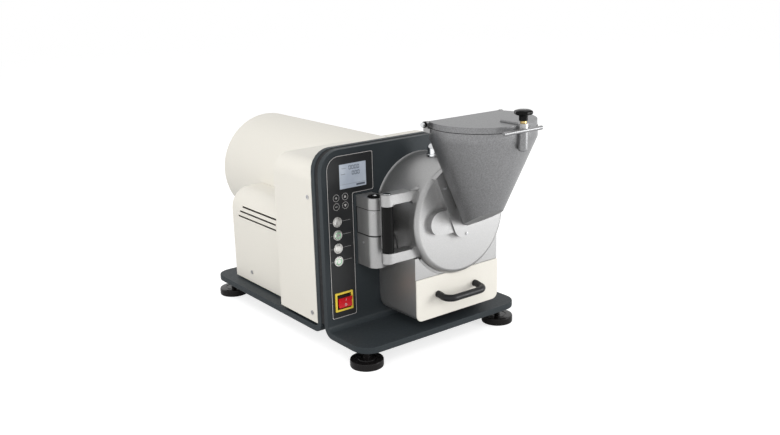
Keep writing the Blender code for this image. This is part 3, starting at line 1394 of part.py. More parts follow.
def motor_end_grille():
    spot = (AXIS_X, MOTOR_COVER_Z)
    ends = (MOTOR_COVER_END - SHEET, MOTOR_COVER_END - SHEET + GRILLE_THICKNESS)
    radius = GRILLE_RADIUS - GAP
    grille = rod("motor_end_grille", "Y", spot, *ends, radius, BIG_SIDES)
    ys = (ends[0] - OVERCUT, ends[1] + OVERCUT)
    spans = []
    for row in range(-5, 6):
        height = MOTOR_COVER_Z + row * GRILLE_PITCH
        away = abs(row) * GRILLE_PITCH + GRILLE_SLOT / 2
        half = ((radius - GRILLE_RIM) ** 2 - away ** 2) ** 0.5 if away < radius - GRILLE_RIM else 0
        if half < GRILLE_SLOT:
            continue
        zs = (height - GRILLE_SLOT / 2, height + GRILLE_SLOT / 2)
        for way in (-1, 1):
            near = AXIS_X + way * GRILLE_SLOT / 2
            far = AXIS_X + way * half
            spans.append(((min(near, far), max(near, far)), ys, zs))
    cut(grille, boxes("grille_slots", spans))
    return paint(grille, black_plastic("grille_black"))


# White sheet housings
def hood_outline(half, bottom, top, corner):
    corners = [(-half, bottom, 0), (half, bottom, 0), (half, top, corner), (-half, top, corner)]
    return rounded(corners)


def front_housing():
    shape = hood_outline(HOUSING_HALF, HOUSING_BOTTOM, HOUSING_TOP, HOUSING_CORNER)
    hood = slab("front_housing", [shape], "Y", HOUSING_FRONT_Y, HOUSING_BACK_Y)
    half, top = HOUSING_HALF - SHEET, HOUSING_TOP - SHEET
    corner = HOUSING_CORNER - SHEET
    room = hood_outline(half, HOUSING_BOTTOM - OVERCUT, top, corner)
    ends = (HOUSING_FRONT_Y - OVERCUT, HOUSING_BACK_Y - SHEET)
    cut(hood, slab("housing_room", [room], "Y", *ends))
    ends = (HOUSING_FRONT_Y - OVERCUT, HOUSING_BACK_Y + OVERCUT)
    spot = (AXIS_X, MOTOR_COVER_Z)
    passage = MOTOR_COVER_RADIUS + 2 * GAP
    cut(hood, rod("motor_passage", "Y", spot, *ends, passage, BIG_SIDES))
    return paint(hood, white_coat("housing_white"))


def lower_rear_cover():
    shape = hood_outline(COVER_HALF, COVER_BOTTOM, COVER_TOP, COVER_CORNER)
    hood = slab("lower_rear_cover", [shape], "Y", COVER_FRONT_Y, COVER_BACK_Y)
    half, top, corner = COVER_HALF - SHEET, COVER_TOP - SHEET, COVER_CORNER - SHEET
    room = hood_outline(half, COVER_BOTTOM - OVERCUT, top, corner)
    ends = (COVER_FRONT_Y - OVERCUT, COVER_BACK_Y - SHEET)
    cut(hood, slab("cover_room", [room], "Y", *ends))
    ends = (COVER_FRONT_Y - OVERCUT, COVER_BACK_Y + OVERCUT)
    saddle = MOTOR_COVER_RADIUS + 2 * GAP
    cut(hood, rod("cover_saddle", "Y", (AXIS_X, MOTOR_COVER_Z), *ends, saddle, BIG_SIDES))
    spans = []
    for height, far in SLOTS:
        zs = (height - SLOT_HEIGHT / 2, height + SLOT_HEIGHT / 2)
        for way in (-1, 1):
            outer, inner = way * (COVER_HALF + OVERCUT), way * (COVER_HALF - 3 * SHEET)
            spans.append(((min(outer, inner), max(outer, inner)), (SLOT_FRONT_Y, far), zs))
    cut(hood, boxes("cover_slots", spans))
    wide, tall = INLET_BODY[0] + GAP, INLET_BODY[1] + GAP
    ys = (COVER_BACK_Y - 2 * SHEET, COVER_BACK_Y + OVERCUT)
    xs = (-INLET_X - wide, -INLET_X + wide)
    cut(hood, box("inlet_hole", xs, ys, (INLET_Z - tall, INLET_Z + tall)))
    return paint(hood, white_coat("cover_white"))


def mains_inlet():
    flange_y = (COVER_BACK_Y + GAP, COVER_BACK_Y + GAP + INLET_FLANGE)
    spans = []
    for half in (INLET_HALF, INLET_BODY, INLET_CAVITY):
        xs = (-INLET_X - half[0], -INLET_X + half[0])
        spans.append((xs, (INLET_Z - half[1], INLET_Z + half[1])))
    inlet = box("mains_inlet", spans[0][0], flange_y, spans[0][1])
    back_y = flange_y[1] - INLET_DEPTH
    join(inlet, box("inlet_body", spans[1][0], (back_y, flange_y[0] + GAP), spans[1][1]))
    cavity_y = (flange_y[1] - INLET_CAVITY_DEPTH, flange_y[1] + OVERCUT)
    cut(inlet, box("inlet_cavity", spans[2][0], cavity_y, spans[2][1]))
    return paint(inlet, black_plastic("inlet_black"))


def side_screw(name, way, half, y, z):
    """Screw head on the left (-1) or right (1) side of a housing."""
    near = way * (half + GAP)
    far = way * (half + GAP + SIDE_SCREW_HEIGHT)
    ends = (min(near, far), max(near, far))
    head = rod(name, "X", (y, z), *ends, SIDE_SCREW_RADIUS, SMALL_SIDES)
    return paint(head, bare_steel(name + "_steel"))


def side_screws():
    for side, way in (("left", -1), ("right", 1)):
        for level, (y, z) in zip(("top", "bottom"), HOUSING_SCREWS):
            side_screw("housing_screw_%s_%s" % (side, level), way, HOUSING_HALF, y, z)
        side_screw("cover_screw_%s" % side, way, COVER_HALF, *COVER_SCREW)


# Collecting drawer
def drawer_front():
    left, right = AXIS_X - DRAWER_HALF, AXIS_X + DRAWER_HALF
    small = 0.15 * DRAWER_CORNER
    corners = [(left, DRAWER_BOTTOM, DRAWER_CORNER), (right, DRAWER_BOTTOM, DRAWER_CORNER)]
    corners += [(right, DRAWER_TOP, small), (left, DRAWER_TOP, small)]
    ends = (BOX_FRONT_Y - GAP - DRAWER_PLATE, BOX_FRONT_Y - GAP)
    plate = slab("drawer_front", [rounded(corners)], "Y", *ends)
    ys = (ends[0] - OVERCUT, ends[1] + OVERCUT)
    radius = DISH_RADIUS + DRAWER_SCALLOP_SPACE
    cut(plate, rod("drawer_scallop", "Y", (AXIS_X, AXIS_Z), *ys, radius, 2 * BIG_SIDES))
    return paint(plate, white_coat("drawer_white"))


def drawer_box():
    xs = (AXIS_X - TRAY_BOX_HALF, AXIS_X + TRAY_BOX_HALF)
    ys = (BOX_FRONT_Y, TRAY_BOX_BACK_Y)
    tray = box("drawer_box", xs, ys, (TRAY_BOX_BOTTOM, TRAY_BOX_TOP))
    inner_x = (xs[0] + SHEET, xs[1] - SHEET)
    inner_y = (ys[0] + SHEET, ys[1] - SHEET)
    inner_z = (TRAY_BOX_BOTTOM + SHEET, TRAY_BOX_TOP + OVERCUT)
    cut(tray, box("tray_room", inner_x, inner_y, inner_z))
    return paint(tray, bare_steel("drawer_steel"))


def drawer_handle():
    """Bow handle: two feet on the drawer front and a bar between them."""
    face = BOX_FRONT_Y - GAP - DRAWER_PLATE - GAP
    drop = HANDLE_FOOT_Z - HANDLE_BAR_Z
    left, right = HANDLE_X - HANDLE_HALF, HANDLE_X + HANDLE_HALF
    bend = HANDLE_BEND
    points = []
    for side, way in ((left, 1), (right, -1)):
        arm = [(side, face, HANDLE_FOOT_Z), (side, face - bend / 2, HANDLE_FOOT_Z)]
        arm.append((side, HANDLE_BAR_Y + bend, HANDLE_BAR_Z + 0.25 * drop))
        for step in range(1, CORNER_STEPS + 1):
            angle = pi / 2 * step / CORNER_STEPS
            x = side + way * bend * (1 - cos(angle))
            y = HANDLE_BAR_Y + bend * (1 - sin(angle))
            z = HANDLE_BAR_Z + 0.25 * drop * (1 - step / CORNER_STEPS)
            arm.append((x, y, z))
        points.append(arm)
    path = points[0] + points[1][::-1]
    curve = bpy.data.curves.new("drawer_handle", "CURVE")
    curve.dimensions = "3D"
    curve.bevel_depth = HANDLE_RADIUS
    curve.bevel_resolution = 2
    curve.use_fill_caps = True
    spline = curve.splines.new("POLY")
    spline.points.add(len(path) - 1)
    for point, spot in zip(spline.points, path):
        point.co = (*spot, 1)
    handle = bpy.data.objects.new("drawer_handle", curve)
    PARTS.objects.link(handle)
    return paint(handle, black_plastic("handle_black"))


# Control panel
def panel_label():
    small = LABEL_SMALL_CORNER
    corners = [
        (LABEL_LEFT, LABEL_BOTTOM, small),
        (LABEL_RIGHT, LABEL_BOTTOM, small),
        (LABEL_RIGHT, LABEL_STEP_Z, small),
        (LABEL_WIDE_RIGHT, LABEL_STEP_Z, small),
        (LABEL_WIDE_RIGHT, LABEL_TOP, small),
        (LABEL_LEFT, LABEL_TOP, LABEL_BIG_CORNER),
    ]
    wide = [(low - GAP, high + GAP) for low, high in DISPLAY]
    outlines = [rounded(corners), rectangle(*wide), rectangle(*SWITCH_OPENING)]
    for height in BUTTON_ZS:
        outlines.append(arc((BUTTON_X, height), BEZEL_BORE, 0, 345, 23))
    label = slab("panel_label", outlines, "Y", -GAP - LABEL, -GAP)
    return paint(label, material("label_dark", (0.02, 0.024, 0.028), roughness=0.4))


def display_window():
    outline = rectangle(*DISPLAY, DISPLAY_CORNER, SMALL_CORNER_STEPS)
    window = slab("display_window", [outline], "Y", -GAP - LABEL, DISPLAY_DEPTH)
    return paint(window, material("display_glass", (0.55, 0.66, 0.74), roughness=0.15))


def push_buttons():
    face = GAP + LABEL + GAP
    for index, height in enumerate(BUTTON_ZS):
        number = index + 1
        at = (BUTTON_X, 0, height)
        ring = [
            (BEZEL_BORE, face + BEZEL_HEIGHT),
            (BEZEL_RADIUS - BUTTON_EDGE, face + BEZEL_HEIGHT),
            (BEZEL_RADIUS, face + BEZEL_HEIGHT - BUTTON_EDGE),
            (BEZEL_RADIUS, face),
            (BEZEL_BORE, face),
        ]
        name = "button_bezel_%d" % number
        bezel = turned(name, ring, at, pi / 2, SMALL_SIDES + SMALL_SIDES // 2, closed=True)
        paint(bezel, bare_steel(name + "_steel"))
        top = face + BUTTON_PROUD
        profile = [
            (0, top),
            (BUTTON_RADIUS - BUTTON_EDGE, top),
            (BUTTON_RADIUS, top - BUTTON_EDGE),
            (BUTTON_RADIUS, top - BUTTON_DEPTH),
            (0, top - BUTTON_DEPTH),
        ]
        name = "push_button_%d" % number
        button = turned(name, profile, at, pi / 2, SMALL_SIDES + SMALL_SIDES // 2)
        paint(button, bare_steel(name + "_steel"))


def switch_frame():
    outlines = [rectangle(*SWITCH_FRAME), rectangle(*SWITCH_OPENING)]
    low = -GAP - LABEL - GAP - SWITCH_FRAME_HEIGHT
    ring = slab("switch_frame", outlines, "Y", low, -GAP - LABEL - GAP)
    return paint(ring, material("frame_yellow", (0.85, 0.68, 0.08), roughness=0.4))


def switch_rocker():
    """Rocker that stands tilted at rest, as a switch does in one of its two positions."""
    middle_x = sum(SWITCH_OPENING[0]) / 2
    middle_z = sum(SWITCH_OPENING[1]) / 2
    half = ROCKER_HALF[1]
    shape = [
        (-ROCKER_FRONT, half),
        (-ROCKER_FRONT + ROCKER_DIP, 0),
        (-ROCKER_FRONT, -half),
        (ROCKER_BACK, -half * ROCKER_BACK_SHARE),
        (ROCKER_BACK, half * ROCKER_BACK_SHARE),
    ]
    outline = []
    for y, z in shape:
        across = y * cos(ROCKER_TILT) - z * sin(ROCKER_TILT)
        up = y * sin(ROCKER_TILT) + z * cos(ROCKER_TILT)
        outline.append((across, middle_z + up))
    xs = (middle_x - ROCKER_HALF[0], middle_x + ROCKER_HALF[0])
    rocker = slab("switch_rocker", [outline], "X", *xs)
    pivot(rocker, (middle_x, 0, middle_z))
    return paint(rocker, material("rocker_red", (0.75, 0.02, 0.03), roughness=0.35))


# Stand the finished object on Z = 0, with its middle on X = 0 and Y = 0
def stand_on_floor():
    lowest = -PLATE_THICKNESS - FOOT_STUD_HEIGHT - FOOT_HEIGHT
    foremost = POST_Y - KNOB_RADIUS + KNOB_LOBE
    middle = (foremost + MOTOR_COVER_END) / 2
    move = Vector((0, -middle, -lowest))
    for group in (PARTS, CUTTERS):
        for ob in group.objects:
            ob.location += move


def build():
    front_tray_plate()
    rear_base_plate()
    plate_gap_seal()
    feet()
    chamber_housing()
    chamber_cap()
    chamber_door()
    hinge_bracket()
    main_hinge_pin()
    hinge_link()
    hinge_barrel()
    door_hinge_pin()
    sensor_cable()
    hopper()
    hopper_screws()
    hopper_lid()
    lid_hinge_pin()
    clamp_knob()
    clamp_screw()
    fixed_disk()
    rotating_disk()
    disk_carrier()
    main_shaft()
    cooling_fan()
    shaft_bearing()
    motor_stator()
    motor_end_shield()
    motor_cradle()
    motor_cover()
    motor_end_grille()
    front_housing()
    lower_rear_cover()
    mains_inlet()
    side_screws()
    drawer_front()
    drawer_box()
    drawer_handle()
    panel_label()
    display_window()
    push_buttons()
    switch_frame()
    switch_rocker()
    stand_on_floor()


build()
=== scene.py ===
from math import acos, atan2, cos, pi, radians, sin, tan

import bpy
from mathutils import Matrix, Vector


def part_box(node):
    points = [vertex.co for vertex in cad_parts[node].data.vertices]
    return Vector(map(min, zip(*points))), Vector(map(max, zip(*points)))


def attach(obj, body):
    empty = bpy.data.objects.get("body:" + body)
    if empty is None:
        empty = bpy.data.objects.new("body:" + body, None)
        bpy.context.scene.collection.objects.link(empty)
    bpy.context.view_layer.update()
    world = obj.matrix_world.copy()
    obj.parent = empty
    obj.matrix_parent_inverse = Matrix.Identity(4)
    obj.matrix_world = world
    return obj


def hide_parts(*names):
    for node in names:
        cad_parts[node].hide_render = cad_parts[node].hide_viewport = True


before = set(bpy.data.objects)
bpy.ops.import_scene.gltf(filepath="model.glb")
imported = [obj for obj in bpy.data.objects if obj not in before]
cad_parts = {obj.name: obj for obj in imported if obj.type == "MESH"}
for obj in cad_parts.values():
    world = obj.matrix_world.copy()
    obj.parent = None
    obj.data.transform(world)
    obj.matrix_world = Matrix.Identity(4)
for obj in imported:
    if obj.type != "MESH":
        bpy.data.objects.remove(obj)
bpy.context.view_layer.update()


# Camera, pale floor and soft studio light.
# The machine is seen from the left of its front and from a little above it.
# The floor takes the machine's shadow and is shown nearly white.
CAMERA_PLACE = (-1.20075, -1.68748, 0.81015)
CAMERA_TURN = (1.29688, 0.02466, -0.65591)
LENS, SENSOR = 42.1, 36
FLOOR_SIDE, FLOOR_GREY, FLOOR_GLOW = 14, 0.55, 0.72
GLOW_NEAR, GLOW_FAR, NEAR_SHARE = 0.44, 0.84, 0.1
SKY_LIGHT, SKY_SEEN = 0.5, 1.0
LAMPS_AIM = Vector((0, 0, 0.25))
bpy.ops.object.camera_add(location=CAMERA_PLACE, rotation=CAMERA_TURN)
camera = bpy.context.object
camera.data.lens = LENS
camera.data.sensor_width = SENSOR
bpy.context.scene.camera = camera
bpy.context.scene.view_settings.view_transform = "Standard"


def rays_that_see(tree, near=False):
    """One for camera, glossy and transmission rays, zero for the others.

    With near, glossy rays get less close to the machine, which keeps the light off its own floor."""
    path = tree.nodes.new("ShaderNodeLightPath")
    first = tree.nodes.new("ShaderNodeMath")
    second = tree.nodes.new("ShaderNodeMath")
    for step in (first, second):
        step.operation = "MAXIMUM"
    tree.links.new(path.outputs["Is Camera Ray"], first.inputs[0])
    glossy = path.outputs["Is Glossy Ray"]
    if near:
        where = tree.nodes.new("ShaderNodeTexCoord")
        reach = tree.nodes.new("ShaderNodeVectorMath")
        reach.operation = "LENGTH"
        fade = tree.nodes.new("ShaderNodeMapRange")
        fade.inputs["From Min"].default_value = GLOW_NEAR
        fade.inputs["From Max"].default_value = GLOW_FAR
        fade.inputs["To Min"].default_value = NEAR_SHARE
        less = tree.nodes.new("ShaderNodeMath")
        less.operation = "MULTIPLY"
        tree.links.new(where.outputs["Object"], reach.inputs[0])
        tree.links.new(reach.outputs["Value"], fade.inputs["Value"])
        tree.links.new(fade.outputs["Result"], less.inputs[0])
        tree.links.new(glossy, less.inputs[1])
        glossy = less.outputs[0]
    tree.links.new(glossy, first.inputs[1])
    tree.links.new(first.outputs[0], second.inputs[0])
    tree.links.new(path.outputs["Is Transmission Ray"], second.inputs[1])
    return second.outputs[0]


bpy.ops.mesh.primitive_plane_add(size=FLOOR_SIDE)
floor = bpy.context.object
floor.name = "floor"
floor_paint = bpy.data.materials.new("floor_white")
floor_paint.use_nodes = True
tree = floor_paint.node_tree
tree.nodes.remove(tree.nodes["Principled BSDF"])
matt = tree.nodes.new("ShaderNodeBsdfDiffuse")
matt.inputs["Color"].default_value = (FLOOR_GREY, FLOOR_GREY, FLOOR_GREY, 1)
glow = tree.nodes.new("ShaderNodeEmission")
lift = tree.nodes.new("ShaderNodeMath")
lift.operation = "MULTIPLY"
lift.inputs[1].default_value = FLOOR_GLOW
tree.links.new(rays_that_see(tree, near=True), lift.inputs[0])
tree.links.new(lift.outputs[0], glow.inputs["Strength"])
both = tree.nodes.new("ShaderNodeAddShader")
tree.links.new(matt.outputs[0], both.inputs[0])
tree.links.new(glow.outputs[0], both.inputs[1])
tree.links.new(both.outputs[0], tree.nodes["Material Output"].inputs["Surface"])
floor.data.materials.append(floor_paint)

studio = bpy.data.worlds.new("studio")
bpy.context.scene.world = studio
studio.use_nodes = True
tree = studio.node_tree
sky = tree.nodes["Background"]
sky.inputs["Color"].default_value = (1, 1, 1, 1)
share = tree.nodes.new("ShaderNodeMapRange")
share.inputs["To Min"].default_value = SKY_LIGHT
share.inputs["To Max"].default_value = SKY_SEEN
tree.links.new(rays_that_see(tree), share.inputs["Value"])
tree.links.new(share.outputs["Result"], sky.inputs["Strength"])

LAMPS = (
    # name, place, side, power, shows in shiny faces
    ("key", (-1.5, -2.3, 2.3), 1.6, 30, False),
    ("left", (-2.8, -0.6, 1.0), 1.6, 30, False),
    ("right", (1.75, -2.3, 0.62), 1.2, 43, True),
    ("back", (-0.6, 2.2, 2.2), 1.6, 18, False),
)
for name, spot, size, power, mirrored in LAMPS:
    bpy.ops.object.light_add(type="AREA", location=spot)
    lamp = bpy.context.object
    lamp.name = name + "_lamp"
    lamp.data.size = size
    lamp.data.energy = power
    lamp.visible_glossy = mirrored
    lamp.rotation_euler = (LAMPS_AIM - Vector(spot)).to_track_quat("-Z", "Y").to_euler()


# Front plate with the tray, and the rear base plate.
# Two bent plates of 14 mm aluminium, with a fine dark slate powder coat.
# Their edges are broken by about a millimetre before they are coated.
PLATE_FACE_Y, TRAY_TOP_Z = -0.1670, 0.0533
WELD = 0.00002
FLAT_ANGLE, BEVEL_ANGLE, SMOOTH_ANGLE = radians(0.5), radians(30), radians(32)
PATCH_SHARE = 0.13
GRAIN_DEPTH = 0.0002
PLATE_EDGE = 0.0014


def deselect():
    """Leave edit mode and select nothing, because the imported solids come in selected."""
    if bpy.context.mode != "OBJECT":
        bpy.ops.object.mode_set(mode="OBJECT")
    bpy.ops.object.select_all(action="DESELECT")


def take(piece):
    """Make one piece the only one that is selected and active."""
    deselect()
    piece.select_set(True)
    bpy.context.view_layer.objects.active = piece


def at(x, y, z):
    """Row-frame place of a point measured from the front plate's face and the tray's top."""
    return Vector((x, y + PLATE_FACE_Y, z + TRAY_TOP_Z))


def merged(name, node):
    """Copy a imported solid's mesh and join its loose triangles into whole faces."""
    deselect()
    piece = bpy.data.objects.new(name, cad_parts[node].data.copy())
    bpy.context.scene.collection.objects.link(piece)
    piece.data.materials.clear()
    take(piece)
    bpy.ops.object.mode_set(mode="EDIT")
    bpy.ops.mesh.select_all(action="SELECT")
    bpy.ops.mesh.remove_doubles(threshold=WELD)
    bpy.ops.mesh.dissolve_limited(angle_limit=FLAT_ANGLE)
    bpy.ops.object.mode_set(mode="OBJECT")
    return piece


def round_edges(piece, width, segments=3):
    """Bevel every edge that is sharper than 30 degrees."""
    take(piece)
    step = piece.modifiers.new("edges", "BEVEL")
    step.width = width
    step.segments = segments
    step.limit_method = "ANGLE"
    step.angle_limit = BEVEL_ANGLE
    bpy.ops.object.modifier_apply(modifier="edges")


def done(piece, mat, body, slot, *nodes):
    """Fix a finished piece: place in its mesh, smooth faces, material, body and node."""
    take(piece)
    bpy.ops.object.transform_apply(location=True, rotation=True, scale=True)
    bpy.ops.object.shade_smooth_by_angle(angle=SMOOTH_ANGLE)
    flats = piece.modifiers.new("flats", "WEIGHTED_NORMAL")
    flats.keep_sharp = True
    bpy.ops.object.modifier_apply(modifier="flats")
    if mat:
        piece.data.materials.clear()
        piece.data.materials.append(mat)
    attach(piece, body)
    if nodes:
        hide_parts(*nodes)


def finish_of(name, roughness, metallic=0.0):
    """New material with its main shader."""
    mat = bpy.data.materials.new(name)
    mat.use_nodes = True
    shader = mat.node_tree.nodes["Principled BSDF"]
    shader.inputs["Roughness"].default_value = roughness
    shader.inputs["Metallic"].default_value = metallic
    return mat, shader


def grain(mat, scale, detail=2.0, stretch=(1, 1, 1)):
    """Noise that follows the object's own place, as a value."""
    nodes, links = mat.node_tree.nodes, mat.node_tree.links
    where = nodes.new("ShaderNodeTexCoord")
    drawn = nodes.new("ShaderNodeMapping")
    drawn.inputs["Scale"].default_value = stretch
    noise = nodes.new("ShaderNodeTexNoise")
    noise.inputs["Scale"].default_value = scale
    noise.inputs["Detail"].default_value = detail
    links.new(where.outputs["Object"], drawn.inputs["Vector"])
    links.new(drawn.outputs["Vector"], noise.inputs["Vector"])
    return noise.outputs["Fac"]


def shades(mat, value, low, high, start=0.35, end=0.65):
    """Turn a value into shades between two colours."""
    ramp = mat.node_tree.nodes.new("ShaderNodeValToRGB")
    ramp.color_ramp.elements[0].position = start
    ramp.color_ramp.elements[0].color = (*low, 1)
    ramp.color_ramp.elements[1].position = end
    ramp.color_ramp.elements[1].color = (*high, 1)
    mat.node_tree.links.new(value, ramp.inputs["Fac"])
    return ramp.outputs["Color"]


def span(mat, value, low, high):
    """Stretch a noise value to a range, for roughness."""
    ranged = mat.node_tree.nodes.new("ShaderNodeMapRange")
    ranged.inputs["From Min"].default_value = 0.3
    ranged.inputs["From Max"].default_value = 0.7
    ranged.inputs["To Min"].default_value = low
    ranged.inputs["To Max"].default_value = high
    mat.node_tree.links.new(value, ranged.inputs["Value"])
    return ranged.outputs["Result"]


def relief(mat, shader, value, strength, depth):
    """Let a value raise and sink the surface."""
    bump = mat.node_tree.nodes.new("ShaderNodeBump")
    bump.inputs["Strength"].default_value = strength
    bump.inputs["Distance"].default_value = depth
    mat.node_tree.links.new(value, bump.inputs["Height"])
    mat.node_tree.links.new(bump.outputs["Normal"], shader.inputs["Normal"])


def coated(name, low, high, rough, scale, bump=0.08, metallic=0.0, gloss=0.5):
    """A finish with a fine grain in its colour, roughness and surface."""
    mat, shader = finish_of(name, rough[0], metallic)
    speck = grain(mat, scale)
    mat.node_tree.links.new(shades(mat, speck, low, high), shader.inputs["Base Color"])
    mat.node_tree.links.new(span(mat, grain(mat, scale * PATCH_SHARE), *rough), shader.inputs["Roughness"])
    shader.inputs["Specular IOR Level"].default_value = gloss
    relief(mat, shader, speck, bump, GRAIN_DEPTH)
    return mat


slate = coated(
    "slate_powder_coat", low=(0.029, 0.035, 0.039), high=(0.041, 0.049, 0.054),
    rough=(0.42, 0.52), scale=1300, gloss=0.15)
for name, node in (("front_plate", "front_tray_plate"), ("base_plate", "rear_base_plate")):
    plate = merged(name, node)
    round_edges(plate, PLATE_EDGE)
    done(plate, slate, "frame", "slate_coat", node)


# Seal in the gap between the two plates.
# Black rubber, set back a little from the plates' edges.
rubber = coated(
    "black_rubber", low=(0.010, 0.010, 0.011), high=(0.020, 0.020, 0.021),
    rough=(0.62, 0.78), scale=900, bump=0.15, gloss=0.3)


def finish(node, mat):
    """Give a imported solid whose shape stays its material."""
    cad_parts[node].data.materials.clear()
    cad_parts[node].data.materials.append(mat)


finish("plate_gap_seal", rubber)


# Four levelling feet.
# Turned black rubber discs with a groove round their hub, on black studs.
STUD_RADIUS = 0.0065
FOOT_SIDES = 72
FOOT_STEPS = (
    (0.0335, 0), (0.0349, 0.0006), (0.0355, 0.0022), (0.0355, 0.0138), (0.0349, 0.0157),
    (0.0332, 0.0165), (0.0215, 0.0165), (0.0208, 0.0156), (0.0190, 0.0156), (0.0183, 0.0165),
    (0.0085, 0.0165), (0.0078, 0.0171), (STUD_RADIUS, 0.0173),
)
FACING = {
    "up": (0, 0, 0), "front": (pi / 2, 0, 0),
    "left": (pi / 2, 0, -pi / 2), "right": (pi / 2, 0, pi / 2),
}


def turned(name, steps, sides=64):
    """Turned piece: a disc whose face is extruded and scaled through (radius, height) steps."""
    deselect()
    radius, height = steps[0]
    bpy.ops.mesh.primitive_circle_add(
        vertices=sides, radius=radius, fill_type="NGON", location=(0, 0, height))
    piece = bpy.context.object
    piece.name = name
    bpy.ops.object.transform_apply(location=True)
    bpy.ops.object.mode_set(mode="EDIT")
    bpy.ops.mesh.select_mode(type="FACE")
    bpy.ops.mesh.select_all(action="SELECT")
    for (before, start), (after, end) in zip(steps, steps[1:]):
        bpy.ops.mesh.extrude_region_move(TRANSFORM_OT_translate={"value": (0, 0, end - start)})
        if after != before:
            grow = after / before
            bpy.ops.transform.resize(value=(grow, grow, 1), center_override=(0, 0, 0))
    bpy.ops.mesh.select_all(action="SELECT")
    bpy.ops.mesh.normals_make_consistent(inside=False)
    bpy.ops.object.mode_set(mode="OBJECT")
    return piece


def put(piece, spot, facing):
    """Stand a piece made along Z at a place, looking one way."""
    piece.location = spot
    piece.rotation_euler = FACING[facing]
    return piece


foot_paint = coated(
    "foot_black", low=(0.006, 0.005, 0.005), high=(0.011, 0.010, 0.010),
    rough=(0.16, 0.28), scale=900, bump=0.02, gloss=0.3)
for node in ("foot_front_left", "foot_front_right", "foot_rear_left", "foot_rear_right"):
    low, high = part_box(node)
    foot = turned(node + "_pad", (*FOOT_STEPS, (STUD_RADIUS, high.z)), FOOT_SIDES)
    put(foot, ((low.x + high.x) / 2, (low.y + high.y) / 2, 0), "up")
    done(foot, foot_paint, "frame", "foot_rubber", node)


# Grinding chamber behind the door.
# One silver casting: a round body over a square box for the drawer, with a sparkling silver coat.
CHAMBER_EDGE = 0.0015
COAT_ROUGH, COAT_METAL = (0.34, 0.46), 0.88
FLECK_SCALE, CLOUD_SCALE = 1500, 360
FLECK_RELIEF, FLECK_DEPTH = 0.25, 0.0003


def silver_coat(name, low, high, patchy):
    """Metal flake paint: fine flecks between two colours, and soft clouds that darken them a little."""
    mat, shader = finish_of(name, COAT_ROUGH[0], COAT_METAL)
    fleck = grain(mat, FLECK_SCALE)
    cloud = grain(mat, CLOUD_SCALE)
    mix = mat.node_tree.nodes.new("ShaderNodeMix")
    mix.data_type = "RGBA"
    mix.blend_type = "MULTIPLY"
    mix.inputs["Factor"].default_value = 1.0
    fine = shades(mat, fleck, low, high, 0.3, 0.7)
    broad = shades(mat, cloud, (patchy, patchy, patchy), (1.0, 1.0, 1.0), 0.38, 0.62)
    mat.node_tree.links.new(fine, mix.inputs[6])
    mat.node_tree.links.new(broad, mix.inputs[7])
    mat.node_tree.links.new(mix.outputs[2], shader.inputs["Base Color"])
    mat.node_tree.links.new(span(mat, fleck, *COAT_ROUGH), shader.inputs["Roughness"])
    relief(mat, shader, fleck, FLECK_RELIEF, FLECK_DEPTH)
    return mat


silver = silver_coat("silver_coat", low=(0.36, 0.359, 0.358), high=(0.46, 0.459, 0.458), patchy=0.94)
chamber = merged("chamber_body", "chamber_housing")
round_edges(chamber, CHAMBER_EDGE)
done(chamber, silver, "frame", "silver_coat", "chamber_housing")


# Lip in the chamber's front, behind the drawer's cut-out.
# A silver arc that closes the slot between the drawer and the door's dish.
AXIS_X, AXIS_Z = 0.036, 0.2355
LIP_OUT, LIP_IN, LIP_THICK, LIP_Y = 0.1285, 0.1239, 0.0011, -0.1238
LIP_ANGLES = range(-53, 54, 2)


def circle(u, v, radius, sides=48):
    """Outline of a circle round (u, v)."""
    turns = [2 * pi * k / sides for k in range(sides)]
    return [(u + radius * cos(turn), v + radius * sin(turn)) for turn in turns]


def bow(radius):
    """Arc round the machine's axis, below it, from left to right."""
    turns = [radians(angle) for angle in LIP_ANGLES]
    return [(AXIS_X + radius * sin(turn), AXIS_Z - radius * cos(turn)) for turn in turns]


def cut_out(name, outlines, thickness, edge=0.0):
    """Flat piece cut to its outlines, holes among them, lying on Z = 0, with rounded edges."""
    shape = bpy.data.curves.new(name, "CURVE")
    shape.dimensions = "2D"
    shape.fill_mode = "BOTH"
    shape.extrude = thickness / 2 - edge
    shape.bevel_depth = edge
    shape.bevel_resolution = 2
    shape.offset = -edge
    for outline in outlines:
        line = shape.splines.new("POLY")
        line.points.add(len(outline) - 1)
        for point, (u, v) in zip(line.points, outline):
            point.co = (u, v, 0, 1)
        line.use_cyclic_u = True
    piece = bpy.data.objects.new(name, shape)
    bpy.context.scene.collection.objects.link(piece)
    take(piece)
    bpy.ops.object.convert(target="MESH")
    piece = bpy.context.object
    piece.location = (0, 0, thickness / 2)
    bpy.ops.object.transform_apply(location=True)
    bpy.ops.object.mode_set(mode="EDIT")
    bpy.ops.mesh.select_all(action="SELECT")
    bpy.ops.mesh.remove_doubles(threshold=WELD)
    bpy.ops.mesh.normals_make_consistent(inside=False)
    bpy.ops.object.mode_set(mode="OBJECT")
    return piece


lip = cut_out("drawer_slot_lip", [bow(LIP_OUT) + bow(LIP_IN)[::-1]], LIP_THICK)
done(put(lip, at(0, LIP_Y, 0), "front"), silver, "frame", "silver_coat")


# Domed cap on top of the chamber.
# Polished steel, turned in one piece with the ring that it stands on; a small near-black disc in its side
# paints the shade of a blind hole.
CAP_PLACE = (AXIS_X, -0.052, 0.3548)
CAP_RING = ((0.0165, 0), (0.0165, 0.0033), (0.0158, 0.004), (0.0146, 0.004))
CAP_RADIUS, CAP_WAIST, CAP_RISE = 0.0145, 0.015, 0.0115
CAP_TIP = (0.0005, 0.0265)
HOLE_RADIUS, HOLE_DEPTH, HOLE_PROUD = 0.0014, 0.002, 0.0002
HOLE_PLACE = (-0.0070, -0.0086, 0.0224)
HOLE_WAY = Vector((-0.0070, -0.0086, 0.0117))


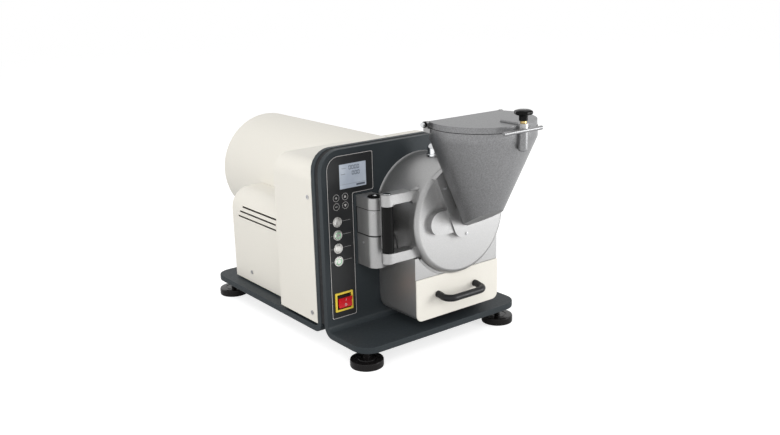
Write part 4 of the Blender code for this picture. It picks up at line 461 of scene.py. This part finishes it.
def polished_steel():
    """Bright steel with a soft haze in its colour and roughness."""
    mat, shader = finish_of("polished_steel", 0.1, 1.0)
    haze = grain(mat, 90)
    tint = shades(mat, haze, (0.60, 0.61, 0.62), (0.72, 0.73, 0.74))
    mat.node_tree.links.new(tint, shader.inputs["Base Color"])
    mat.node_tree.links.new(span(mat, haze, 0.07, 0.17), shader.inputs["Roughness"])
    return mat


chrome = polished_steel()
# Near-black finish for pieces that paint the shade in holes, gaps and openings.
painted_shade = coated(
    "painted_shade", low=(0.006, 0.006, 0.006), high=(0.012, 0.012, 0.012), rough=(0.6, 0.8), scale=800)
slopes = [k * pi / 20 for k in range(10)]
dome = [(CAP_RADIUS * cos(slope), CAP_WAIST + CAP_RISE * sin(slope)) for slope in slopes]
cap = turned("cap_dome", (*CAP_RING, *dome, CAP_TIP))
done(put(cap, at(*CAP_PLACE), "up"), chrome, "frame", "polished_steel", "chamber_cap")
# A dark disc, a little proud of the dome, paints the shade inside a blind hole.
hole = turned("cap_hole_shade", ((HOLE_RADIUS, -HOLE_DEPTH), (HOLE_RADIUS, HOLE_PROUD)), 20)
hole.location = at(*(whole + part for whole, part in zip(CAP_PLACE, HOLE_PLACE)))
hole.rotation_euler = HOLE_WAY.to_track_quat("Z", "Y").to_euler()
done(hole, painted_shade, "frame", "polished_steel")


# White sheet covers behind the plates: housing, lower cover and round motor cover.
# Folded and rolled 2 mm steel sheet with a satin off-white powder coat.
white = coated(
    "off_white_powder_coat", low=(0.770, 0.742, 0.672), high=(0.805, 0.778, 0.708),
    rough=(0.42, 0.5), scale=1400, bump=0.05)
for name, node, edge in (
    ("housing_shell", "front_housing", 0.0008),
    ("rear_cover_shell", "lower_rear_cover", 0.0008),
    ("motor_cover_shell", "motor_cover", 0.0006),
):
    shell = merged(name, node)
    round_edges(shell, edge, 2)
    done(shell, white, "frame", "white_coat", node)


# Screws that hold the sheet covers.
# Small steel button heads with a six-sided socket.
SOCKET_SHARE, SOCKET_FLOOR_SHARE, HEAD_ROUND_SHARE, FLOOR_WIDER = 0.5, 0.25, 0.32, 1.1
STROKE_SCALE, STROKE_DETAIL, STROKE_RELIEF = 60, 3, 0.1


def joined(name, *parts):
    """Join parts that are already in place into one piece."""
    deselect()
    for part in parts:
        part.select_set(True)
    bpy.context.view_layer.objects.active = parts[0]
    bpy.ops.object.join()
    bpy.context.object.name = name
    return bpy.context.object


def socket_screw(name, radius, height):
    """Round screw head with a six-sided socket and the floor of the socket."""
    outlines = [circle(0, 0, radius), circle(0, 0, radius * SOCKET_SHARE, 6)]
    head = cut_out(name + "_head", outlines, height, height * HEAD_ROUND_SHARE)
    wide = radius * SOCKET_SHARE * FLOOR_WIDER
    bottom = turned(name + "_floor", ((wide, 0), (wide, height * SOCKET_FLOOR_SHARE)), 24)
    return joined(name, head, bottom)


def brushed_steel(name, low, high, rough, stretch):
    """Bare metal with strokes along one way, which the stretch gives."""
    mat, shader = finish_of(name, rough[0], 1.0)
    stroke = grain(mat, STROKE_SCALE, STROKE_DETAIL, stretch)
    mat.node_tree.links.new(shades(mat, stroke, low, high), shader.inputs["Base Color"])
    mat.node_tree.links.new(span(mat, stroke, *rough), shader.inputs["Roughness"])
    relief(mat, shader, stroke, STROKE_RELIEF, GRAIN_DEPTH)
    return mat


bare_steel = brushed_steel(
    "machined_steel", low=(0.42, 0.42, 0.43), high=(0.62, 0.62, 0.63),
    rough=(0.24, 0.36), stretch=(9, 9, 1))
for node, facing in (
    ("housing_screw_left_top", "left"),
    ("housing_screw_left_bottom", "left"),
    ("housing_screw_right_top", "right"),
    ("housing_screw_right_bottom", "right"),
    ("cover_screw_left", "left"),
    ("cover_screw_right", "right"),
):
    low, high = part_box(node)
    radius = (high.z - low.z) / 2
    screw = socket_screw(node + "_head", radius, high.x - low.x)
    inner = high.x if facing == "left" else low.x
    put(screw, (inner, (low.y + high.y) / 2, (low.z + high.z) / 2), facing)
    done(screw, bare_steel, "frame", "bare_steel", node)


# Mains inlet in the lower cover, and the vent grille in the motor cover's end.
# Both are moulded in satin black plastic, and the inlet has three flat steel pins.
INLET_X, INLET_Y, INLET_Z = -0.120, 0.4465, 0.052
INLET_PINS = ((-0.007, -0.002), (0.0, 0.003), (0.007, -0.002))
PIN_SIZE, PIN_EDGE, MOULDED_EDGE = (0.002, 0.012, 0.004), 0.0004, 0.0006
black = coated(
    "black_plastic", low=(0.006, 0.006, 0.007), high=(0.011, 0.011, 0.012),
    rough=(0.34, 0.46), scale=1100, bump=0.04, gloss=0.3)
for name, node in (("inlet_socket", "mains_inlet"), ("end_grille", "motor_end_grille")):
    moulding = merged(name, node)
    round_edges(moulding, MOULDED_EDGE, 2)
    done(moulding, black, "frame", "black_plastic", node)
for number, (x, z) in enumerate(INLET_PINS, 1):
    bpy.ops.mesh.primitive_cube_add(size=1, location=at(INLET_X + x, INLET_Y, INLET_Z + z))
    pin = bpy.context.object
    pin.name = "inlet_pin_%d" % number
    pin.scale = PIN_SIZE
    bpy.ops.object.transform_apply(location=True, scale=True)
    round_edges(pin, PIN_EDGE, 2)
    done(pin, bare_steel, "frame", "bare_steel")


# Chamber door: a round dish with a raised seat for the hopper and two hinge arms.
# One silver casting, coated like the chamber.
DOOR_EDGE = 0.0016
DOOR_PIN = (-0.1348, -0.1067)
KNUCKLES = (("upper_knuckle", 0.284, 0.308), ("lower_knuckle", 0.1635, 0.1858))
FILLETS = (
    # name, dish's edge x, arm's edge z, reach along the arm, rise up or down the dish
    ("arm_fillet_1", -0.0597, 0.3076, 0.018, 0.006),
    ("arm_fillet_2", -0.0788, 0.2880, 0.006, -0.007),
    ("arm_fillet_3", -0.0787, 0.1846, 0.009, 0.005),
    ("arm_fillet_4", -0.0609, 0.1649, 0.014, -0.006),
)
FILLET_THICK, FILLET_Y, FILLET_IN_ARM, FILLET_IN_DISH = 0.013, -0.1075, 0.001, 0.006
door = merged("door_casting", "chamber_door")
round_edges(door, DOOR_EDGE)
done(door, silver, "door", "silver_coat", "chamber_door")
for name, low, high in KNUCKLES:
    knuckle = turned(name, (
        (0.0134, low), (0.0138, low + 0.0002), (0.0140, low + 0.0008),
        (0.0140, high - 0.0010), (0.0139, high - 0.0003), (0.0133, high + 0.0001),
    ), 56)
    done(put(knuckle, at(*DOOR_PIN, 0), "up"), silver, "door", "silver_coat")
for name, x, z, reach, rise in FILLETS:
    under = z - FILLET_IN_ARM * (1 if rise > 0 else -1)
    turns = [pi * k / 16 for k in range(9)]
    hollow = [(x - reach + reach * sin(turn), z + rise * (1 - cos(turn))) for turn in turns]
    hollow += [(x + FILLET_IN_DISH, z + rise), (x + FILLET_IN_DISH, under), (x - reach, under)]
    fillet = cut_out(name, [hollow], FILLET_THICK)
    done(put(fillet, at(0, FILLET_Y, 0), "front"), silver, "door", "silver_coat")


# Hinge: the bracket on the front plate, the swinging link and the wall behind the barrel.
# Silver castings with fettled noses, and the bracket's foot is coated in slate like the plate. Thin dark
# sheets between the leaves paint the shade of the gaps between them.
HINGE_EDGE = 0.0009
BRACKET_FOOT_Y = -0.0056
MAIN_PIN = (-0.119, -0.044)
NOSE_RADIUS, NOSE_LEFT, NOSE_RIGHT, NOSE_BACK = 0.0201, -0.1391, -0.0990, -0.0065
LEAF_GAP_SHADES = (("upper_leaf_gap_shade", 0.2635, 0.0014), ("lower_leaf_gap_shade", 0.2075, 0.0030))
GRUB_STEPS = ((0.0028, -0.002), (0.0028, 0.0002), (0.0024, 0.0005), (0.0017, 0.0005), (0.0015, -0.001))
GRUB_PLACE, GRUB_WAY = (-0.1334, -0.0577, 0.2578), (-0.0144, -0.0137, 0)
PLUG_STEPS = ((0.0026, -0.001), (0.0026, 0.0002), (0.0021, 0.0006), (0.0004, 0.0007))
PLUG_PLACE = (-0.139, -0.0265, 0.1892)
bracket = merged("hinge_bracket_casting", "hinge_bracket")
round_edges(bracket, HINGE_EDGE, 2)
bracket.data.materials.append(silver)
bracket.data.materials.append(slate)
for face in bracket.data.polygons:
    face.material_index = int(face.center.y > at(0, BRACKET_FOOT_Y, 0).y)
done(bracket, None, "frame", "silver_coat", "hinge_bracket")
link = merged("hinge_link_casting", "hinge_link")
round_edges(link, HINGE_EDGE, 2)
done(link, silver, "hinge_link", "silver_coat", "hinge_link")
pin_x, pin_y = MAIN_PIN
# Each dark sheet, cut to the nose's outline, paints the shade of the gap between two hinge leaves.
for name, height, thick in LEAF_GAP_SHADES:
    turns = [pi * k / 24 for k in range(1, 24)]
    nose = [(NOSE_LEFT, NOSE_BACK), (NOSE_LEFT, pin_y)]
    nose += [(pin_x - NOSE_RADIUS * cos(turn), pin_y - NOSE_RADIUS * sin(turn)) for turn in turns]
    nose += [(NOSE_RIGHT, pin_y), (NOSE_RIGHT, NOSE_BACK)]
    washer_and_gap_shade = cut_out(name, [nose], thick)
    done(put(washer_and_gap_shade, at(0, 0, height - thick / 2), "up"), painted_shade, "frame", "black_plastic")
grub = turned("nose_grub_screw", GRUB_STEPS, 24)
grub.location = at(*GRUB_PLACE)
grub.rotation_euler = Vector(GRUB_WAY).to_track_quat("Z", "Y").to_euler()
done(grub, bare_steel, "hinge_link", "silver_coat")
plug = turned("bracket_side_plug", PLUG_STEPS, 24)
done(put(plug, at(*PLUG_PLACE), "left"), bare_steel, "frame", "silver_coat")


# Hinge pins and the barrel between the door's two arms.
# Black screw head on a washer, a glossy black tube, and a polished pin with flat heads.
MAIN_PIN_STEPS = (
    (0.0080, 0.1380), (0.0080, 0.2888), (0.0155, 0.2888), (0.0155, 0.2894), (0.0149, 0.2899),
    (0.0112, 0.2899), (0.0112, 0.2908), (0.0103, 0.2915), (0.0048, 0.2915), (0.0046, 0.2900),
)
SOCKET_STEPS = ((0.0045, 0.2895), (0.0045, 0.2914), (0.0041, 0.2917), (0.0034, 0.2915), (0.0030, 0.2902))
BARREL_STEPS = (
    (0.0111, 0.1861), (0.0118, 0.1864), (0.0121, 0.1871),
    (0.0121, 0.2827), (0.0118, 0.2834), (0.0111, 0.2837),
)
DOOR_PIN_EDGE = 0.0005
gloss_black = coated(
    "gloss_black", low=(0.003, 0.003, 0.003), high=(0.006, 0.006, 0.006),
    rough=(0.10, 0.18), scale=1200, bump=0.01, gloss=0.10)
pin = turned("main_pin_and_head", MAIN_PIN_STEPS, 48)
done(put(pin, at(*MAIN_PIN, 0), "up"), gloss_black, "frame", "black_plastic", "main_hinge_pin")
socket = turned("main_pin_socket", SOCKET_STEPS, 24)
done(put(socket, at(*MAIN_PIN, 0), "up"), chrome, "frame", "bare_steel")
barrel = turned("hinge_barrel_tube", BARREL_STEPS, 56)
done(put(barrel, at(*DOOR_PIN, 0), "up"), gloss_black, "hinge_link", "black_plastic", "hinge_barrel")
pin = merged("door_pin", "door_hinge_pin")
round_edges(pin, DOOR_PIN_EDGE)
done(pin, chrome, "door", "bare_steel", "door_hinge_pin")


# Sensor cable at the hinge.
# A short black rubber cable that leaves the dish and goes back into the lower arm's knuckle.
cable_skin = coated(
    "cable_rubber", low=(0.010, 0.010, 0.010), high=(0.018, 0.018, 0.018),
    rough=(0.4, 0.55), scale=1500, bump=0.1)
finish("sensor_cable", cable_skin)


# Feed hopper with its flange, and the screws that hold it on the door.
# One casting with a rim band round the top, in a darker sparkling coat than the door.
# The flange's face against the door is silver, and three socket screws hold it.
HOPPER_EDGE = 0.0012
HOPPER_FOOT_Y = -0.1552
sparkle = silver_coat(
    "grey_sparkle_coat", low=(0.19, 0.191, 0.195), high=(0.31, 0.311, 0.316), patchy=0.82)
hopper = merged("hopper_casting", "hopper")
round_edges(hopper, HOPPER_EDGE)
hopper.data.materials.append(sparkle)
hopper.data.materials.append(silver)
for face in hopper.data.polygons:
    face.material_index = int(face.center.y > at(0, HOPPER_FOOT_Y, 0).y)
done(hopper, None, "door", "silver_coat", "hopper")
for node in ("hopper_screw_left", "hopper_screw_right", "hopper_screw_foot"):
    low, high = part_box(node)
    screw = socket_screw(node + "_head", (high.x - low.x) / 2, high.y - low.y)
    put(screw, ((low.x + high.x) / 2, high.y, (low.z + high.z) / 2), "front")
    done(screw, bare_steel, "door", "bare_steel", node)


# Hopper lid with its post, grip, rib and hinge barrel, and the hinge pin's head at its left.
# The lid is a casting with the hopper's coat and a silver post, and a thin sheet of black rubber under its
# rim paints the shade of the gap between lid and hopper.
# The pin is polished steel with a black washer.
POST = (AXIS_X, -0.315)
POST_REACH = 0.0104
LID_EDGE, LID_PIN_EDGE = 0.0010, 0.0007
RIM_RADIUS, RIM_Y, RIM_Z, RIM_ANGLES = 0.1083, -0.2025, 0.4388, range(153, 388, 3)
GAP_SHADE_THICK = 0.0012
WASHER_STEPS = ((0.0058, 0), (0.0063, 0.0006), (0.0063, 0.0036), (0.0058, 0.0042))
WASHER_PLACE = (-0.0684, -0.150, 0.446)
lid = merged("lid_casting", "hopper_lid")
round_edges(lid, LID_EDGE)
lid.data.materials.append(sparkle)
lid.data.materials.append(silver)
post = at(*POST, 0)
for face in lid.data.polygons:
    face.material_index = int((face.center - post).xy.length < POST_REACH)
done(lid, None, "lid", "silver_coat", "hopper_lid")
# The black sheet under the lid's rim paints the shade of the gap between lid and hopper.
turns = [radians(angle) for angle in RIM_ANGLES]
rim = [(AXIS_X + RIM_RADIUS * cos(turn), RIM_Y + RIM_RADIUS * sin(turn)) for turn in turns]
gap_shade = cut_out("lid_gap_shade", [rim], GAP_SHADE_THICK)
done(put(gap_shade, at(0, 0, RIM_Z), "up"), rubber, "lid", "seal_rubber")
washer_and_gap_shade = turned("lid_pin_washer", WASHER_STEPS, 32)
done(put(washer_and_gap_shade, at(*WASHER_PLACE), "left"), gloss_black, "door", "black_plastic")
pin = merged("lid_pin", "lid_hinge_pin")
round_edges(pin, LID_PIN_EDGE)
done(pin, chrome, "door", "polished_steel", "lid_hinge_pin")


# Clamp screw and knob on the lid's post.
# A threaded brass screw in a bush, under a glossy black moulded knob with six lobes.
KNOB_BOTTOM, KNOB_UNDER, KNOB_TOP = 0.4605, 0.4722, 0.4825
KNOB_RADIUS, KNOB_THICK, KNOB_ROUND = 0.0176, 0.0086, 0.0036
LOBES, LOBE_RISE, STAR_POINTS = 6, 0.0009, 96
CROWN_STEPS = (
    (0.0150, KNOB_UNDER + 0.0075), (0.0146, KNOB_UNDER + 0.0086), (0.0118, KNOB_UNDER + 0.0096),
    (0.0075, KNOB_TOP - 0.0002), (0.0005, KNOB_TOP),
)
NECK_STEPS = (
    (0.0080, KNOB_BOTTOM), (0.0086, KNOB_BOTTOM + 0.0006), (0.0086, KNOB_UNDER - 0.004),
    (0.0094, KNOB_UNDER - 0.0015), (0.0112, KNOB_UNDER + 0.0002), (0.0130, KNOB_UNDER + 0.001),
)
star = []
for k in range(STAR_POINTS):
    turn = 2 * pi * k / STAR_POINTS
    reach = KNOB_RADIUS + LOBE_RISE * cos(LOBES * turn)
    star.append((reach * cos(turn), reach * sin(turn)))
head = cut_out("knob_star", [star], KNOB_THICK, KNOB_ROUND)
head.location = (0, 0, KNOB_UNDER)
crown = turned("knob_crown", CROWN_STEPS)
neck = turned("knob_neck", NECK_STEPS)
knob = joined("clamp_knob_moulding", head, crown, neck)
done(put(knob, at(*POST, 0) + knob.location, "up"), gloss_black, "knob", "black_plastic", "clamp_knob")
brass = brushed_steel(
    "screw_brass", low=(0.42, 0.30, 0.12), high=(0.62, 0.46, 0.20),
    rough=(0.2, 0.32), stretch=(1, 1, 30))
finish("clamp_screw", brass)


# Collecting drawer: white front, steel box and black bow handle.
# The box is folded from stainless sheet, and the handle is screwed to the front from inside.
DRAWER_EDGE = 0.0008
HANDLE_ENDS = (-0.0221, 0.0829)
HANDLE_FACE, HANDLE_STUB, HANDLE_BAR_Y = -0.1286, 0.006, -0.164
HANDLE_FOOT_Z, HANDLE_BAR_Z, HANDLE_DROOP = 0.0742, 0.0712, 0.0008
HANDLE_BEND, HANDLE_RADIUS, BEND_STEPS = 0.018, 0.0075, 8
front = merged("drawer_panel", "drawer_front")
round_edges(front, DRAWER_EDGE)
done(front, white, "drawer", "white_coat", "drawer_front")
sheet_steel = brushed_steel(
    "stainless_sheet", low=(0.40, 0.40, 0.41), high=(0.55, 0.55, 0.56),
    rough=(0.26, 0.36), stretch=(1, 8, 8))
finish("drawer_box", sheet_steel)
legs = []
for end, way in zip(HANDLE_ENDS, (1, -1)):
    leg = [(end, HANDLE_FACE, HANDLE_FOOT_Z), (end, HANDLE_FACE - HANDLE_STUB, HANDLE_FOOT_Z)]
    for k in range(BEND_STEPS + 1):
        angle = pi / 2 * k / BEND_STEPS
        leg.append((
            end + way * HANDLE_BEND * (1 - cos(angle)),
            HANDLE_BAR_Y + HANDLE_BEND * (1 - sin(angle)),
            HANDLE_BAR_Z + HANDLE_DROOP * (1 - k / BEND_STEPS),
        ))
    legs.append(leg)
path = bpy.data.curves.new("drawer_bow_handle", "CURVE")
path.dimensions = "3D"
path.bevel_depth = HANDLE_RADIUS
path.bevel_resolution = 6
path.use_fill_caps = True
points = legs[0] + legs[1][::-1]
line = path.splines.new("POLY")
line.points.add(len(points) - 1)
for point, (x, y, z) in zip(line.points, points):
    point.co = (x, y, z - HANDLE_BAR_Z, 1)
handle = bpy.data.objects.new("drawer_bow_handle", path)
bpy.context.scene.collection.objects.link(handle)
take(handle)
bpy.ops.object.convert(target="MESH")
handle = bpy.context.object
handle.location = at(0, 0, HANDLE_BAR_Z)
done(handle, black, "drawer", "black_plastic", "drawer_handle")


# Control panel label with its printed lines.
# A dark plastic film glued on the front plate, printed in light grey with a border, four ring keys
# and short lines beside the push buttons.
PRINT, LABEL_FACE = 0.00012, -0.0011
BORDER_LEFT, BORDER_STEP, BORDER_RIGHT = -0.208, -0.1445, -0.0905
BORDER_LOW, BORDER_MIDDLE, BORDER_TOP = 0.0245, 0.2925, 0.3766
BORDER_ROUND, BORDER_CORNER = 0.030, 0.004
BORDER_OUTER, BORDER_INNER = 0.0005, 0.0015
KEY_LEFT, KEY_RIGHT, KEY_TOP, KEY_LOW = -0.1865, -0.1640, 0.2887, 0.2700
RING_OUT, RING_IN = 0.0076, 0.0070
SIGN_HALF, SIGN_REACH = 0.0006, 0.0026
ARROW_TIP, ARROW_BASE, ARROW_HALF = 0.0036, 0.0022, 0.0032
LINE_HEIGHTS, LINE_HALF = (0.2376, 0.2089, 0.1802, 0.1520), 0.0002
LINE_SPANS = ((-0.2050, -0.1995), (-0.1745, -0.1530))
film = coated(
    "dark_label_film", low=(0.010, 0.011, 0.012), high=(0.016, 0.017, 0.018),
    rough=(0.34, 0.44), scale=1500, bump=0.05, gloss=0.4)
label = merged("label_film_sheet", "panel_label")
done(label, film, "frame", "label_film", "panel_label")


def rounded(corners, steps=8):
    """Outline through (u, v, radius) corners, each corner an arc of a few steps."""
    outline = []
    for index, (u, v, radius) in enumerate(corners):
        point = Vector((u, v))
        before = (Vector(corners[index - 1][:2]) - point).normalized()
        after = (Vector(corners[(index + 1) % len(corners)][:2]) - point).normalized()
        half = acos(max(-1, min(1, before.dot(after)))) / 2
        centre = point + (before + after).normalized() * radius / sin(half)
        start = point + before * radius / tan(half) - centre
        end = point + after * radius / tan(half) - centre
        first = atan2(start.y, start.x)
        turn = (atan2(end.y, end.x) - first + pi) % (2 * pi) - pi
        for k in range(steps + 1):
            angle = first + turn * k / steps
            outline.append((centre.x + radius * cos(angle), centre.y + radius * sin(angle)))
    return outline


def rectangle(left, right, bottom, top):
    """Outline of a rectangle."""
    return [(left, bottom), (right, bottom), (right, top), (left, top)]


def border(inset):
    """Outline of the label's border, drawn in by an inset."""
    left, step, right = BORDER_LEFT + inset, BORDER_STEP - inset, BORDER_RIGHT - inset
    low, middle, top = BORDER_LOW + inset, BORDER_MIDDLE + inset, BORDER_TOP - inset
    corners = [(right, top), (right, middle), (step, middle), (step, low), (left, low)]
    return rounded([(left, top, BORDER_ROUND - inset), *((u, v, BORDER_CORNER) for u, v in corners)])


light_print = coated(
    "light_grey_print", low=(0.56, 0.54, 0.53), high=(0.66, 0.64, 0.63),
    rough=(0.4, 0.5), scale=900, bump=0.02)
frame_line = cut_out("label_border_print", [border(BORDER_OUTER), border(BORDER_INNER)], PRINT)
done(put(frame_line, at(0, LABEL_FACE, 0), "front"), light_print, "frame", "label_film")
marks = []
for u in (KEY_LEFT, KEY_RIGHT):
    for v in (KEY_TOP, KEY_LOW):
        marks += [circle(u, v, RING_OUT), circle(u, v, RING_IN)]
a, b = SIGN_HALF, SIGN_REACH
plus = (
    (-a, -b), (a, -b), (a, -a), (b, -a), (b, a), (a, a),
    (a, b), (-a, b), (-a, a), (-b, a), (-b, -a), (-a, -a),
)
marks.append([(KEY_LEFT + u, KEY_TOP + v) for u, v in plus])
marks.append(rectangle(KEY_LEFT - b, KEY_LEFT + b, KEY_LOW - a, KEY_LOW + a))
for v, way in ((KEY_TOP, 1), (KEY_LOW, -1)):
    tip, base, half = v + way * ARROW_TIP, v - way * ARROW_BASE, way * ARROW_HALF
    marks.append([(KEY_RIGHT, tip), (KEY_RIGHT - half, base), (KEY_RIGHT + half, base)])
for v in LINE_HEIGHTS:
    for left, right in LINE_SPANS:
        marks.append(rectangle(left, right, v - LINE_HALF, v + LINE_HALF))
keys = cut_out("ring_key_prints", marks, PRINT)
done(put(keys, at(0, LABEL_FACE, 0), "front"), light_print, "frame", "label_film")


# Display window with its digits.
# A pale blue liquid crystal behind clear plastic, with dark seven-segment figures.
FIGURE_WIDE, FIGURE_TALL, FIGURE_BAR, FIGURE_STEP = 0.0055, 0.0088, 0.0014, 0.0070
FIGURE_ROWS = (
    # left edge, foot, number of figures
    (-0.1524, 0.3440, 4),
    (-0.1446, 0.3318, 3),
)
DISPLAY_LINES = (
    (-0.1700, -0.1600, 0.3476, 0.3484),
    (-0.1725, -0.1610, 0.3356, 0.3364),
    (-0.1740, -0.1105, 0.3140, 0.3144),
    (-0.1340, -0.1120, 0.3080, 0.3120),
)
PANE_EDGE = 0.0003


def pale_glass():
    """Pale blue, even tint under a clear coat."""
    mat, shader = finish_of("pale_display", 0.12)
    tint = shades(mat, grain(mat, 24), (0.50, 0.56, 0.66), (0.60, 0.66, 0.75))
    mat.node_tree.links.new(tint, shader.inputs["Base Color"])
    shader.inputs["Coat Weight"].default_value = 0.6
    shader.inputs["Coat Roughness"].default_value = 0.04
    return mat


window = merged("display_pane", "display_window")
round_edges(window, PANE_EDGE, 2)
done(window, pale_glass(), "frame", "display_glass", "display_window")
low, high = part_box("display_window")
figure_grey = coated(
    "figure_grey", low=(0.08, 0.10, 0.13), high=(0.11, 0.13, 0.17),
    rough=(0.4, 0.5), scale=900, bump=0.02)


def zero(left, bottom):
    """The figure 0: six straight bars with a gap at each corner."""
    right, top, middle = left + FIGURE_WIDE, bottom + FIGURE_TALL, bottom + FIGURE_TALL / 2
    bar, gap = FIGURE_BAR, FIGURE_BAR / 4
    outlines = []
    for v in (bottom, top - bar):
        outlines.append(rectangle(left + bar + gap, right - bar - gap, v, v + bar))
    for u in (left, right - bar):
        outlines.append(rectangle(u, u + bar, bottom + gap, middle - gap))
        outlines.append(rectangle(u, u + bar, middle + gap, top - gap))
    return outlines


bars = []
for left, bottom, count in FIGURE_ROWS:
    for k in range(count):
        bars += zero(left + FIGURE_STEP * k, bottom)
bars += [rectangle(*sides) for sides in DISPLAY_LINES]
digits = cut_out("display_figures", bars, PRINT)
done(put(digits, (0, low.y, TRAY_TOP_Z), "front"), figure_grey, "frame", "display_glass")


# Four round push buttons in their bezels.
# Buttons and bezels are of brushed steel, and the second and fourth buttons have a green lamp ring.
BEZEL_OUT, BEZEL_IN, BEZEL_EDGE = 0.011, 0.0086, 0.0007
LAMP_OUT, LAMP_IN, LAMP_THICK, LAMP_SINK = 0.0066, 0.0054, 0.0003, 0.0001
button_steel = brushed_steel(
    "button_steel", low=(0.66, 0.65, 0.62), high=(0.94, 0.93, 0.90),
    rough=(0.22, 0.34), stretch=(9, 1, 1))
green_lamp, shader = finish_of("green_lamp_ring", 0.3)
tint = shades(green_lamp, grain(green_lamp, 700), (0.16, 0.60, 0.26), (0.30, 0.78, 0.40))
green_lamp.node_tree.links.new(tint, shader.inputs["Base Color"])
for number in (1, 2, 3, 4):
    body, node = "button_%d" % number, "button_bezel_%d" % number
    low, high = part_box(node)
    x, z = (low.x + high.x) / 2, (low.z + high.z) / 2
    rings = [circle(0, 0, BEZEL_OUT), circle(0, 0, BEZEL_IN)]
    bezel = cut_out("bezel_ring_%d" % number, rings, high.y - low.y, BEZEL_EDGE)
    done(put(bezel, (x, high.y, z), "front"), button_steel, "frame", "polished_steel", node)
    node = "push_button_%d" % number
    low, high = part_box(node)
    rise = high.y - low.y
    button = turned("button_cap_%d" % number, (
        (0.0082, 0), (0.0082, rise - 0.0009), (0.0078, rise - 0.0003), (0.0068, rise), (0.0056, rise),
        (0.0053, rise - 0.0003), (0.0046, rise - 0.0003), (0.0043, rise), (0.0005, rise),
    ), 48)
    done(put(button, (x, high.y, z), "front"), button_steel, body, "polished_steel", node)
    if number in (2, 4):
        rings = [circle(0, 0, LAMP_OUT), circle(0, 0, LAMP_IN)]
        ring = cut_out("lamp_ring_%d" % number, rings, LAMP_THICK)
        done(put(ring, (x, low.y + LAMP_SINK, z), "front"), green_lamp, body, "label_film")


# Rocker switch in its yellow frame.
# A moulded yellow surround over a dark sheet that paints the shade in its opening, with a red rocker that
# carries plain on and off marks.
SURROUND = (-0.1995, -0.155, 0.040, 0.0815)
OPENING = (-0.1955, -0.159, 0.0440, 0.0775)
WELL = (-0.1953, -0.1592, 0.0442, 0.0773)
WELL_THICK = 0.0002
SURROUND_CORNER, SURROUND_THICK, SURROUND_EDGE = 0.001, 0.0030, 0.0004
ROCKER_EDGE = 0.0005
MARK_X = -0.1755
ON_Y, ON_Z, ON_TILT, ON_HALF, ON_WIDE = -0.0071, 0.0651, radians(16.8), 0.0028, 0.0006
OFF_Y, OFF_Z, OFF_TILT, OFF_OUT, OFF_IN = -0.0059, 0.0536, radians(4.9), 0.0028, 0.0017
yellow = coated(
    "frame_yellow", low=(0.80, 0.60, 0.05), high=(0.90, 0.68, 0.08),
    rough=(0.36, 0.46), scale=900, bump=0.04)
outlines = []
for sides in (SURROUND, OPENING):
    outlines.append(rounded([(u, v, SURROUND_CORNER) for u, v in rectangle(*sides)], 4))
surround = cut_out("switch_surround", outlines, SURROUND_THICK, SURROUND_EDGE)
done(put(surround, at(0, LABEL_FACE, 0), "front"), yellow, "frame", "frame_yellow", "switch_frame")
red = coated(
    "rocker_red", low=(0.62, 0.010, 0.018), high=(0.74, 0.016, 0.026),
    rough=(0.26, 0.36), scale=900, bump=0.03)
rocker = merged("rocker_key", "switch_rocker")
round_edges(rocker, ROCKER_EDGE, 2)
done(rocker, red, "rocker", "rocker_red", "switch_rocker")
# A dark sheet behind the rocker paints the shade of the opening round it.
well_shade = cut_out("switch_well_shade", [rectangle(*WELL)], WELL_THICK)
done(put(well_shade, at(0, LABEL_FACE + WELL_THICK, 0), "front"), painted_shade, "frame", "label_film")
on_mark = cut_out("rocker_on_mark", [rectangle(-ON_WIDE, ON_WIDE, -ON_HALF, ON_HALF)], PRINT)
on_mark.location = at(MARK_X, ON_Y, ON_Z)
on_mark.rotation_euler = (pi / 2 + ON_TILT, 0, 0)
done(on_mark, light_print, "rocker", "rocker_red")
off_mark = cut_out("rocker_off_mark", [circle(0, 0, OFF_OUT), circle(0, 0, OFF_IN)], PRINT)
off_mark.location = at(MARK_X, OFF_Y, OFF_Z)
off_mark.rotation_euler = (pi / 2 - OFF_TILT, 0, 0)
done(off_mark, light_print, "rocker", "rocker_red")


# Grinding discs, carrier and shaft.
# Hard steel discs, the fixed one in the door and the turning one on its cast carrier.
iron = coated(
    "cast_iron", low=(0.055, 0.055, 0.058), high=(0.11, 0.11, 0.115),
    rough=(0.45, 0.6), scale=500, bump=0.3, metallic=0.7)
disc_steel = brushed_steel(
    "disc_steel", low=(0.36, 0.36, 0.37), high=(0.52, 0.52, 0.53),
    rough=(0.28, 0.4), stretch=(6, 6, 6))
for node in ("fixed_disk", "rotating_disk"):
    finish(node, disc_steel)
finish("disk_carrier", iron)
finish("main_shaft", bare_steel)
finish("shaft_bearing", bare_steel)


# Motor inside the rear covers, with its end shield, saddle and fan.
# Cast iron, and a moulded black fan on the shaft's end.
for node in ("motor_stator", "motor_end_shield", "motor_cradle"):
    finish(node, iron)
finish("cooling_fan", black)
